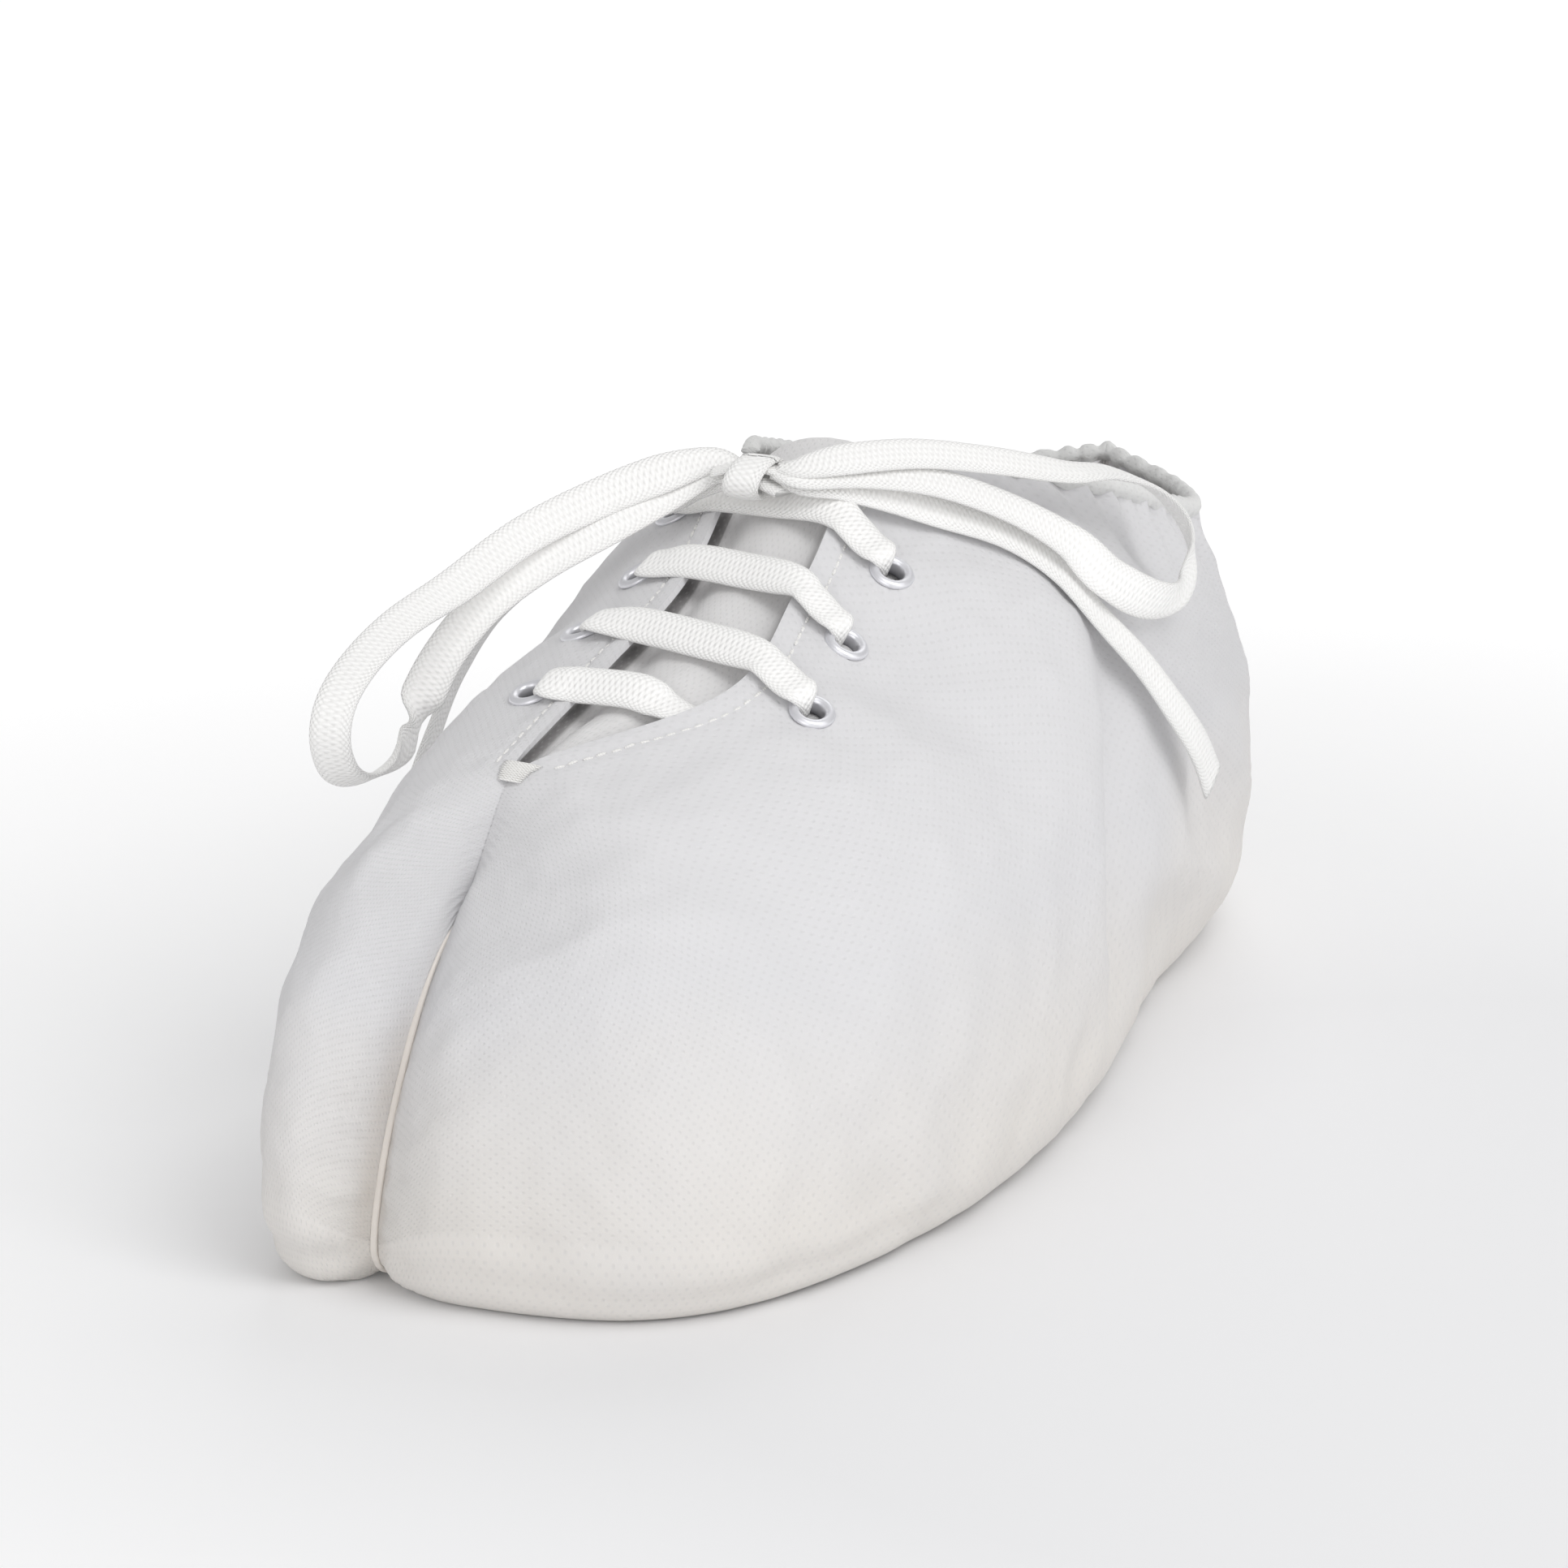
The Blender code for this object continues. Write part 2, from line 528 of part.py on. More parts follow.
def centre_seam(name, finish):
    """The taped seam in the bottom of the groove, from the toe, along the sole, up the heel."""
    line, out = centre_line()
    deep, _ = groove(np.linspace(0, 1, len(line)))
    line = line + out * (STRIP_GAP + STRIP_THICK / 2 - deep)[:, None]
    tangent = np.gradient(line, axis=0)
    tangent /= np.linalg.norm(tangent, axis=1)[:, None]
    keep = [3]
    for k in range(4, len(line) - 3):
        turned = tangent[k] @ tangent[keep[-1]] < math.cos(math.radians(8))
        if turned or k - keep[-1] >= 4:
            keep.append(k)
    return ribbon(name, line[keep], out[keep], STRIP_WIDTH, STRIP_THICK, finish)


def elastic_edge(name, finish):
    """The gathered hem of the ankle opening, from one corner of the throat round the heel to the other."""
    where = np.linspace(THROAT_END + 0.025, 1, 60)
    halves = []
    for side in (-1, 1):
        points = skin(side, where, np.full_like(where, 3.0))
        below = skin(side, where, np.full_like(where, 2.94))
        up = points - below
        up /= np.linalg.norm(up, axis=1)[:, None]
        points = points + up * (GAP + 1.2 * RIM_ROLL)
        halves.append(points if side < 0 else points[::-1][1:])
    path = np.concatenate(halves)
    run = np.r_[0, np.cumsum(np.linalg.norm(np.diff(path, axis=0), axis=1))]
    ruffles = round(run[-1] / RUFFLE_PITCH)
    even = np.linspace(0, run[-1], ruffles * 4 + 1)
    path = np.stack([np.interp(even, run, path[:, k]) for k in range(3)], axis=1)
    tangent = np.gradient(path, axis=0)
    tangent /= np.linalg.norm(tangent, axis=1)[:, None]
    up = np.tile([0.0, 0.0, 1.0], (len(path), 1))
    beside = np.cross(tangent, up)
    beside /= np.linalg.norm(beside, axis=1)[:, None]
    up = np.cross(beside, tangent)
    wave = np.sin(np.arange(len(path)) * math.pi / 2)
    angles = np.arange(6) * math.tau / 6
    rings = []
    for k in range(len(path)):
        wide = RIM_ROLL * (1.0 + 0.18 * wave[k] * np.cos(angles))
        tall = RIM_ROLL * (0.95 * np.sin(angles) + 0.26 * wave[k] * np.clip(np.sin(angles), 0, 1))
        rings.append(path[k] + np.outer(np.cos(angles) * wide, beside[k]) + np.outer(tall, up[k]))
    bm = bmesh.new()
    tube(bm, rings)
    return finish_object(name, bm, finish)


def knot(name, finish):
    """The crossed turns of the bow, as one rounded lump."""
    bm = bmesh.new()
    bmesh.ops.create_icosphere(bm, subdivisions=2, radius=1.0)
    for vertex in bm.verts:
        boxy = [math.copysign(abs(value) ** 0.7, value) for value in vertex.co]
        waist = 1.0 - 0.14 * math.exp(-(vertex.co.x / 0.35) ** 2)
        size = np.array([KNOT_SIZE[0], KNOT_SIZE[1] * waist, KNOT_SIZE[2] * waist])
        vertex.co = Vector(place(np.array(KNOT) + size * boxy)[0])
    return finish_object(name, bm, finish)


def build():
    clear_scene()
    fabric = material("fabric", (0.86, 0.86, 0.85), 0.85)
    inner = material("tongue_fabric", (0.84, 0.83, 0.81), 0.85)
    seam_tape = material("seam_tape", (0.72, 0.60, 0.46), 0.80)
    hem = material("gathered_hem", (0.84, 0.84, 0.82), 0.85)
    cotton = material("lace_cotton", (0.86, 0.86, 0.82), 0.80)
    metal = material("eyelet_metal", (0.70, 0.73, 0.80), 0.40, 0.8)

    made = [panel("panel_left", -1, fabric), panel("panel_right", 1, fabric)]
    by_side = {-1: made[0], 1: made[1]}
    for number, values in enumerate(LACE_ROWS, start=1):
        row = dict(zip(LACE_COLUMNS, values))
        for side, word in ((-1, "left"), (1, "right")):
            if side > 0 and row["goes_under"]:
                continue
            point, normal = on_skin(side, row[word + "_x"], row[word + "_along"])
            point = point + np.array([side * HALF_APART, 0, 0])
            hole = EYELET_HOLE + BARREL_WALL + GAP
            cut_hole(by_side[side], f"hole_{word}_{number}", point, normal, hole)
            made.append(eyelet(f"eyelet_{word}_{number}", point, normal, metal))
        made.append(lace_bar(f"lace_bar_{number}", row, cotton))
    made.append(tongue("tongue", inner))
    made.append(centre_seam("centre_seam", seam_tape))
    made.append(elastic_edge("elastic_edge", hem))
    made.append(knot("bow_knot", cotton))
    for name, points, faces in (("loop_left", LOOP_LEFT, round_loop), ("loop_right", LOOP_RIGHT, round_loop),
                                ("lace_end_left", END_LEFT, away_from_foot),
                                ("lace_end_right", END_RIGHT, away_from_foot)):
        path = route(points, 4.5)
        made.append(ribbon(name, path, faces(path), LACE_WIDTH, LACE_THICK, cotton))
    return made


build()
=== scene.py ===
# %% [markdown]
# # A lace-up shoe cover of white nonwoven fabric
# The solid model gives the cover's true size and place, but its cloth is plain. This lesson dresses it:
# two sewn halves of soft cloth, a seam with its tape, a gathered elastic edge, a tongue, metal eyelets
# and a flat woven lace tied in a bow.
# Cloth is shaped here by rule, from the same table of ribs as the solid model, so that every piece lands
# where the model says. Lengths are written in millimetres and turned into metres by one function.

# %% Load the solid model as a fixed frame
import math

import bmesh
import bpy
import numpy as np
from mathutils import Matrix, Vector, noise


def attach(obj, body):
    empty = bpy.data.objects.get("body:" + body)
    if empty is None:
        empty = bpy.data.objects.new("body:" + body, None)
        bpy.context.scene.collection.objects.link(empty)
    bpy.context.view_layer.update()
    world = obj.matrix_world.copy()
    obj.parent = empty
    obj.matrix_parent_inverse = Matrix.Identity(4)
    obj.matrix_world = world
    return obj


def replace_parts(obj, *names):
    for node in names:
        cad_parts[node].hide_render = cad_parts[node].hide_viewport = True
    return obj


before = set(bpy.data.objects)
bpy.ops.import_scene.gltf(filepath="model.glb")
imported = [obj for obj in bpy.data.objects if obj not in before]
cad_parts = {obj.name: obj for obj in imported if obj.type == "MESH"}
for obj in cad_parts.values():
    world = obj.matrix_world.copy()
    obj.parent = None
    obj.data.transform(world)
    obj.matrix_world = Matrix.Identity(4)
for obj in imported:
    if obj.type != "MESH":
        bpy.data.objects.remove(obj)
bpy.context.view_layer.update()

MM = 0.001

# %% [markdown]
# ## Places on the cover
# x is measured across the foot, along from the tip of the toe to the heel, and z up from the floor. The
# solid model has its origin on the floor under its middle, so one small shift takes every point there.

# %% From the cover's own measures to the frame's metres
CENTRE_ALONG = 148.72
CENTRE_X = 8.34


def place(points):
    points = np.atleast_2d(np.asarray(points, float))
    return np.column_stack([points[:, 0] - CENTRE_X, points[:, 1] - CENTRE_ALONG, points[:, 2]]) * MM


print("toe tip at", place((8.0, 0.0, 16.0))[0].round(4))

# %% [markdown]
# ## Camera, floor and light
# A long lens from about a metre and a half keeps the toe from looking swollen. The cloth is white on
# white, so its form has to come from soft light: a broad window above and to the right, weaker ones at the
# right, in front and behind, and a pale surrounding that fills the folds.

# %% The camera
AZIMUTH, ELEVATION = math.radians(26.0), math.radians(17.0)
CAMERA_DISTANCE = 1.6
back = Vector((
    math.sin(AZIMUTH) * math.cos(ELEVATION), -math.cos(AZIMUTH) * math.cos(ELEVATION), math.sin(ELEVATION),
))
target = Vector((-0.006, -0.012, 0.056))
camera_data = bpy.data.cameras.new("camera")
camera_data.lens = 205.0
camera = bpy.data.objects.new("camera", camera_data)
camera.location = target + back * CAMERA_DISTANCE
camera.rotation_euler = back.to_track_quat("Z", "Y").to_euler()
bpy.context.scene.collection.objects.link(camera)
bpy.context.scene.camera = camera
print("camera at", [round(value, 3) for value in camera.location])


# %% The lights and the surroundings
def soft_light(name, spot, size, power):
    """A square window of light that faces the cover."""
    data = bpy.data.lights.new(name, "AREA")
    data.size = size
    data.energy = power
    lamp = bpy.data.objects.new(name, data)
    lamp.location = spot
    lamp.rotation_euler = (Vector(spot) - target).to_track_quat("Z", "Y").to_euler()
    bpy.context.scene.collection.objects.link(lamp)


soft_light("window_above", (1.1, -0.5, 1.6), 1.3, 13.0)
soft_light("window_right", (1.9, -0.3, 0.6), 1.0, 4.0)
soft_light("window_front", (0.25, -2.0, 0.6), 1.4, 8.5)
soft_light("window_back", (-0.4, 1.9, 1.5), 1.6, 9.0)
world = bpy.data.worlds.new("surroundings")
world.use_nodes = True
world.node_tree.nodes["Background"].inputs["Color"].default_value = (1.0, 1.0, 1.0, 1.0)
world.node_tree.nodes["Background"].inputs["Strength"].default_value = 0.50
bpy.context.scene.world = world
bpy.context.scene.view_settings.view_transform = "Standard"


# %% [markdown]
# ## Sums with sockets
# A finish is easier to read as a sum than as a web of nodes. Wire holds one socket and knows the usual
# operators; Finish holds the material being made and adds any other node.

# %% Wire and Finish
class Wire:
    """One socket of a material. An expression on wires adds the Math nodes for it."""

    def __init__(self, finish, socket):
        self.finish = finish
        self.socket = socket

    def sum(self, operation, *values):
        return self.finish.node("ShaderNodeMath", {"operation": operation}, dict(enumerate(values)))[0]

    def __add__(self, other):
        return self.sum("ADD", self, other)

    def __radd__(self, other):
        return self.sum("ADD", other, self)

    def __sub__(self, other):
        return self.sum("SUBTRACT", self, other)

    def __rsub__(self, other):
        return self.sum("SUBTRACT", other, self)

    def __mul__(self, other):
        return self.sum("MULTIPLY", self, other)

    def __truediv__(self, other):
        return self.sum("DIVIDE", self, other)

    def __pow__(self, other):
        return self.sum("POWER", self, other)

    def wave(self):
        """The sine, moved to between 0 and 1."""
        return self.sum("SINE", self) * 0.5 + 0.5

    def held(self):
        """The value, kept between 0 and 1."""
        return self.sum("MINIMUM", self.sum("MAXIMUM", self, 0.0), 1.0)


class Finish:
    """A material in the making, on one Principled shader."""

    def __init__(self, name, colour, roughness, **constants):
        self.material = bpy.data.materials.new(name)
        self.material.use_nodes = True
        self.tree = self.material.node_tree
        self.shader = self.tree.nodes["Principled BSDF"]
        self.set("Base Color", (*colour, 1.0))
        self.set("Roughness", roughness)
        for key, value in constants.items():
            self.set(key.replace("_", " "), value)

    def node(self, kind, settings=None, values=None):
        """Adds a node: its settings first, then a value or a wire for each named or numbered socket."""
        made = self.tree.nodes.new(kind)
        for key, value in (settings or {}).items():
            setattr(made, key, value)
        for key, value in (values or {}).items():
            self.feed(made.inputs[key], value)
        return [Wire(self, socket) for socket in made.outputs]

    def feed(self, socket, value):
        """Gives a socket a value or a wire."""
        if isinstance(value, Wire):
            self.tree.links.new(value.socket, socket)
        else:
            socket.default_value = value

    def set(self, name, value):
        self.feed(self.shader.inputs[name], value)

    def blend(self, share, first, second):
        """A colour between two colours."""
        pick = {0: share}
        for slot, colour in ((6, first), (7, second)):
            pick[slot] = colour if isinstance(colour, Wire) else (*colour, 1.0)
        return self.node("ShaderNodeMix", {"data_type": "RGBA"}, pick)[2]

    def grain(self, where, scale, detail=4.0, roughness=0.55):
        """Soft random clouds between 0 and 1."""
        values = {"Vector": where, "Scale": scale, "Detail": detail, "Roughness": roughness}
        return self.node("ShaderNodeTexNoise", None, values)[0]

    def axes(self, where):
        return self.node("ShaderNodeSeparateXYZ", None, {0: where})

    def turned(self, where, scale, angle):
        """Coordinates stretched by scale and turned about Z."""
        values = {"Vector": where, "Scale": scale, "Rotation": (0.0, 0.0, angle)}
        return self.node("ShaderNodeMapping", None, values)[0]

    def relief(self, height, depth):
        """Lets a height between 0 and 1 shape the surface by depth, in metres."""
        self.set("Normal", self.node("ShaderNodeBump", None, {"Height": height, "Distance": depth})[0])

    def kept(self, name):
        """A value that is kept on the points of the mesh."""
        return self.node("ShaderNodeAttribute", {"attribute_name": name})[2]

    @property
    def cut(self):
        """The piece's own flat coordinates, in centimetres of cloth."""
        return self.node("ShaderNodeUVMap", {"uv_map": "cut"})[0]

    @property
    def place(self):
        return self.node("ShaderNodeTexCoord")[3]


def darker(colour, share):
    return tuple(value * share for value in colour)


print("sums ready")

# %% [markdown]
# ## The finishes
# Nonwoven cloth is pressed from fibres. Close up it shows a fine grid of bonded points and a fibrous
# haze between them, and it is dull all over. Its colour is a little cooler where it stretches over the
# shoe, and paler and warmer near the floor as painted bounce light from the floor. The lace is a flat
# tubular braid, so its finish draws two sets of yarns that cross at a slant, with painted shade between
# them.

# %% Nonwoven cloth
WHITE = (0.785, 0.78, 0.795)
# The next colour is paler and warmer than WHITE: painted bounce light from the floor.
BOUNCE_CREAM = (0.84, 0.808, 0.77)
TAN = (0.52, 0.40, 0.29)
SHADE = (0.22, 0.21, 0.21)
BOUNCE_BELOW = 0.045    # the warmer tone sets in below about this height, in metres
DOT_DEPTH = 0.00020    # in metres


def nonwoven(name, upper, lower):
    cloth = Finish(name, upper, 0.86, Sheen_Weight=0.12, Sheen_Roughness=0.6, Specular_IOR_Level=0.25)
    height = cloth.axes(cloth.place)[2]
    patches = cloth.grain(cloth.place, 22.0, 3.0)
    # Painted bounce light from the floor: below about 45 mm the colour turns paler and warmer, in random
    # patches.
    low = (1.15 - height / BOUNCE_BELOW + (patches - 0.5) * 0.9).held()
    tone = cloth.blend(low, upper, lower)
    haze = cloth.grain(cloth.turned(cloth.cut, (9.0, 26.0, 1.0), 0.5), 3.0, 6.0, 0.7)
    tone = cloth.blend((haze - 0.35).held() * 0.35, tone, (0.93, 0.925, 0.92))
    # A dark tan tint close to the seam, stronger in random patches.
    tone = cloth.blend((cloth.kept("seam") * (0.08 + patches * 0.30)).held(), tone, TAN)
    # Painted shade: the colour goes dark where the points' dim value is high, beside the facings' edges on
    # the tongue.
    tone = cloth.blend(cloth.kept("dim"), tone, SHADE)
    cloth.set("Roughness", 0.80 + haze * 0.12)
    points = cloth.node(
        "ShaderNodeTexVoronoi", {"voronoi_dimensions": "2D"},
        {"Vector": cloth.turned(cloth.cut, (1.0, 1.0, 1.0), 0.785), "Scale": 6.5, "Randomness": 0.0},
    )[0]
    dots = (points * 3.4).held()
    tone = cloth.blend((1.0 - dots) * 0.30, tone, (0.68, 0.675, 0.68))
    cloth.set("Base Color", tone)
    fibres = cloth.grain(cloth.turned(cloth.cut, (20.0, 5.0, 1.0), 0.3), 8.0, 5.0, 0.65)
    cloth.relief(dots * 0.5 + fibres * 0.5, DOT_DEPTH)
    return cloth.material


cover_cloth = nonwoven("cover_cloth", WHITE, BOUNCE_CREAM)
# The tongue's colour is paler than the cover's: painted light that offsets the shade it lies in under the
# laces.
tongue_cloth = nonwoven("tongue_cloth", (0.87, 0.86, 0.86), (0.87, 0.86, 0.85))
hem_cloth = nonwoven("hem_cloth", (0.82, 0.82, 0.81), (0.82, 0.82, 0.81))
print("cloths:", cover_cloth.name, tongue_cloth.name, hem_cloth.name)


# %% Braided lace, thread, tape and eyelet metal
def braid(name, colour, shade):
    """A flat braid: u runs once round it and v is measured in its own widths."""
    lace = Finish(name, colour, 0.84, Sheen_Weight=0.25, Sheen_Roughness=0.5, Specular_IOR_Level=0.2)
    u, v, _ = lace.axes(lace.cut)
    turns = math.tau * 14.0
    left = (u * turns + v * math.tau * 7.0).wave()
    right = (u * turns - v * math.tau * 7.0).wave()
    yarn = left ** 0.6 * 0.5 + right ** 0.6 * 0.5
    patchy = lace.grain(lace.place, 60.0, 3.0)
    # Painted shade: the colour darkens between the yarns, deeper in random patches.
    lace.set("Base Color", lace.blend((1.0 - yarn) * (0.35 + patchy * 0.5), colour, shade))
    lace.relief(yarn + patchy * 0.2, 0.00022)
    return lace.material


def thread(name, colour):
    """Twisted sewing thread."""
    strand = Finish(name, colour, 0.7, Sheen_Weight=0.2)
    x, y, z = strand.axes(strand.place)
    twist = ((x + y + z) * 9000.0).wave()
    strand.set("Base Color", strand.blend(twist * 0.4, colour, darker(colour, 0.82)))
    strand.relief(twist, 0.00008)
    return strand.material


def tape(name, colour):
    """Narrow seam tape with ribs across it."""
    band = Finish(name, colour, 0.8, Sheen_Weight=0.1)
    _, v, _ = band.axes(band.cut)
    ribs = (v * math.tau * 3.0).wave()
    dust = band.grain(band.place, 120.0)
    band.set("Base Color", band.blend(dust * 0.7, colour, darker(colour, 0.78)))
    band.relief(ribs * 0.6 + dust * 0.4, 0.00015)
    return band.material


def pale_metal(name, colour):
    """Stamped and lacquered metal with fine rubbed marks."""
    ring = Finish(name, colour, 0.34, Metallic=0.65)
    rubbed = ring.grain(ring.place, 900.0, 4.0)
    ring.set("Roughness", 0.26 + rubbed * 0.22)
    tone = ring.blend(rubbed * 0.5, colour, darker(colour, 0.8))
    # Painted shade: inside the barrel the colour goes nearly black, where the points' depth value is high.
    ring.set("Base Color", ring.blend(ring.kept("depth"), tone, (0.05, 0.05, 0.06)))
    ring.relief(rubbed, 0.00003)
    return ring.material


lace_braid = braid("lace_braid", (1.0, 0.995, 0.985), (0.90, 0.89, 0.87))
white_thread = thread("white_thread", (0.93, 0.92, 0.90))
seam_tape = tape("seam_tape", (0.87, 0.82, 0.765))
eyelet_metal = pale_metal("eyelet_metal", (0.84, 0.84, 0.875))
ground = Finish("floor_glow_and_shade", (0.80, 0.80, 0.81), 0.6)
# Painted light and shade: the floor is greyer round the cover and fades to white further out, centred a
# little to the right of the cover.
reach = ground.node(
    "ShaderNodeVectorMath", {"operation": "DISTANCE"}, {0: ground.place, 1: (0.15, -0.05, 0.0)},
)[1]
away = ((reach - 0.15) / 0.36).held()    # the floor fades to white from 0.15 to 0.51 metres out
ground.set("Base Color", ground.blend(away, (0.88, 0.88, 0.89), (1.0, 1.0, 1.0)))
# The floor glows further out, though it is no lamp: painted light.
ground.set("Emission Color", ground.blend(away, (0.0, 0.0, 0.0), (1.0, 1.0, 1.0)))
ground.set("Emission Strength", 0.26)
print("finishes:", len(bpy.data.materials))

# %% The floor
def mesh_from(bm, name):
    """The finished mesh of a bmesh, which is then freed."""
    mesh = bpy.data.meshes.new(name)
    bm.to_mesh(mesh)
    bm.free()
    return mesh


bm = bmesh.new()
bmesh.ops.create_grid(bm, x_segments=1, y_segments=1, size=12.0)
floor_mesh = mesh_from(bm, "floor")
floor_mesh.materials.append(ground.material)
floor = bpy.data.objects.new("floor", floor_mesh)
bpy.context.scene.collection.objects.link(floor)
print("floor:", tuple(round(value, 1) for value in floor.dimensions))

# %% [markdown]
# ## Curves through given points
# A lace lies along a route of a few points, and the ribs of the cover change along a table of rows. Both
# become smooth with the same Catmull-Rom curve, which passes through every point it is given.

# %% Smooth rows and even routes
THROAT_START = 0.30
THROAT_END = 0.60
UP = np.array([0.0, 0.0, 1.0])


def ramp(values):
    """The values, kept between 0 and 1."""
    return np.clip(values, 0, 1)


def hill(distance, width, steep=2):
    """1 at no distance, and nearly nothing at twice the width."""
    return np.exp(-(distance / width) ** steep)


def smooth_rows(values, where):
    rows = np.asarray(values, float)
    spans = len(rows) - 1
    x = ramp(where) * spans
    i = np.minimum(x.astype(int), spans - 1)
    f = (x - i).reshape(-1, *[1] * (rows.ndim - 1))
    ends = np.concatenate([[2 * rows[0] - rows[1]], rows, [2 * rows[-1] - rows[-2]]])
    a, b, c, d = ends[i], ends[i + 1], ends[i + 2], ends[i + 3]
    return 0.5 * (2 * b + (c - a) * f + (2 * a - 5 * b + 4 * c - d) * f**2 + (3 * b - a - 3 * c + d) * f**3)


def run_along(points):
    """How far along its line each point lies."""
    return np.r_[0.0, np.cumsum(np.linalg.norm(np.diff(points, axis=0), axis=1))]


def between(at, known, points):
    """The points of a line, read off at new places between the known ones."""
    return np.stack([np.interp(at, known, points[:, k]) for k in range(3)], axis=-1)


def evenly(points, step):
    """The same line with its points at even steps."""
    run = run_along(points)
    return between(np.linspace(0.0, run[-1], max(3, round(run[-1] / step) + 1)), run, points)


def route(points, step):
    return evenly(smooth_rows(points, np.linspace(0.0, 1.0, 40 * len(points))), step)


def unit(vectors):
    return vectors / np.maximum(np.linalg.norm(vectors, axis=-1, keepdims=True), 1e-12)


def length_of(path):
    return np.linalg.norm(np.diff(path, axis=0), axis=1).sum()


print("a straight route of 10 mm:", len(route([(0, 0, 0), (0, 5, 0), (0, 10, 0)], 1.0)), "points")

# %% [markdown]
# ## The ribs
# Each half of the cover is a fan of ribs that run from the seam under the sole, round the side, up to
# the top edge. The table is the solid model's own.

# %% The table of ribs
SOLE_ROLL = 9.0
RIB_COLUMNS = (
    "out_along", "left_out_x", "right_out_x", "top_along", "left_top_x", "right_top_x", "left_top_z",
    "right_top_z", "sole_along", "sole_x", "bulge", "left_lean", "right_lean", "left_full", "right_full",
)
RIBS = (
    (6, -12, -12, 40, -12.0, -12.0, 57, 57, 40, -12, 8, 24, 24, 0.15, 0.15),     # seam of the toe
    (0, -24, 8, 46, -12.5, -12.5, 62, 62, 46, -11, 16, 2, 3, 0.55, 0.50),
    (8, -34, 40, 53, -13.0, -13.0, 69, 69, 54, -10, 16, 0, 0, 0.78, 0.60),
    (32, -42, 58, 62, -13.6, -12.4, 77, 77, 68, -8, 14, 1, 3, 0.85, 0.62),      # lower end of the throat
    (76, -48, 67, 90, -11.0, 14.0, 87, 87, 94, -5, 13, 8, 18, 0.85, 0.62),
    (122, -51, 66, 124, -11.0, 12.0, 96, 98, 128, -2, 13, 14, 24, 0.80, 0.62),
    (165, -47, 58, 164, -20.0, 9.0, 106, 110, 165, 0, 15, 30, 34, 0.70, 0.62),  # upper end of the throat
    (210, -42, 48, 204, -34.0, 33.0, 97, 98, 204, 0, 18, 66, 66, 0.62, 0.62),
    (254, -37, 40, 246, -32.0, 33.0, 84, 83, 236, 0, 20, 78, 78, 0.62, 0.62),
    (285, -24, 23, 272, -20.0, 20.0, 79, 79, 254, 0, 24, 82, 82, 0.62, 0.62),
    (298, 0, 0, 284, 0.0, 0.0, 81, 81, 260, 0, 28, 84, 84, 0.62, 0.62),         # seam of the heel
)


def rib_values(column, where):
    return smooth_rows([row[RIB_COLUMNS.index(column)] for row in RIBS], where)


def top_x(name, where):
    """Where a half's top edge lies. Below the throat the two edges are sewn together."""
    places = np.linspace(0, 1, len(RIBS))
    rows = {
        half: np.array([row[RIB_COLUMNS.index(half + "_top_x")] for row in RIBS])
        for half in ("left", "right")
    }
    sewn = np.interp(where, places, (rows["left"] + rows["right"]) / 2)
    opened = ramp((where - THROAT_START + 0.012) / 0.012)
    straight = np.interp(where, places, rows[name])
    free = np.where(where < THROAT_START, straight, smooth_rows(rows[name], where))
    return sewn + (free - sewn) * opened


print(len(RIBS), "ribs of", len(RIB_COLUMNS), "values")


# %% The smooth skin of one half
TOP = 3.0    # the value of across at the top edge


def bare_skin(side, where, across):
    """where picks the rib; across runs 0 to 1 on the sole, 1 to 2 round the turn, 2 to 3 up the side."""
    across = np.full_like(where, across)
    name = "right" if side > 0 else "left"
    out = np.stack([rib_values(name + "_out_x", where), rib_values("out_along", where)], axis=1)
    top = np.stack([top_x(name, where), rib_values("top_along", where)], axis=1)
    sole = np.stack([rib_values("sole_x", where), rib_values("sole_along", where)], axis=1)
    top_z = rib_values(name + "_top_z", where)
    bulge = rib_values("bulge", where)
    lean = np.radians(rib_values(name + "_lean", where))
    full = rib_values(name + "_full", where)
    outward = unit(out - sole)
    edge = out - outward * SOLE_ROLL
    bend = np.column_stack([edge[:, 0], sole[:, 1]])
    inward = top - out
    span = np.linalg.norm(inward, axis=1)
    inward = unit(inward)
    height = top_z - bulge
    on_sole = ramp(across)[:, None]
    turn = ramp(across - 1) * math.pi / 2
    up = ramp(across - 2)[:, None]
    flat = (1 - on_sole) ** 2 * sole + 2 * on_sole * (1 - on_sole) * bend + on_sole**2 * edge
    flat += outward * (SOLE_ROLL * np.sin(turn))[:, None]
    low = np.column_stack([flat, bulge * (1 - np.cos(turn))])
    start = np.column_stack([out, bulge])
    end = np.column_stack([top, top_z])
    first = start + np.column_stack([np.zeros_like(out), height * full])
    reach = 0.50 * span * np.cos(lean) + 0.45 * height * np.sin(lean)
    last = end - np.column_stack([inward * np.cos(lean)[:, None], np.sin(lean)]) * reach[:, None]
    high = ((1 - up) ** 3 * start + 3 * (1 - up) ** 2 * up * first
            + 3 * (1 - up) * up**2 * last + up**3 * end)
    return np.where(across[:, None] > 2, high, low)


def outward_normals(side, where, across, tiny=0.004):
    def at(w, a):
        return bare_skin(side, ramp(w), np.clip(a, 0, TOP))
    along = at(where + tiny, across) - at(where - tiny, across)
    over = at(where, across + tiny) - at(where, across - tiny)
    return unit(np.cross(along, over) * side)


print("top of the toe:", bare_skin(1, np.array([0.2]), TOP).round(1)[0])

# %% [markdown]
# ## Folds, gathers and the groove of the seam
# A soft fold is a low ridge or furrow along a line. The elastic and the seam draw the cloth together, so
# beside them it stands in small gathers that die out after a couple of centimetres. Between the folds the
# cloth is never quite smooth: faint creases cross it in all directions.

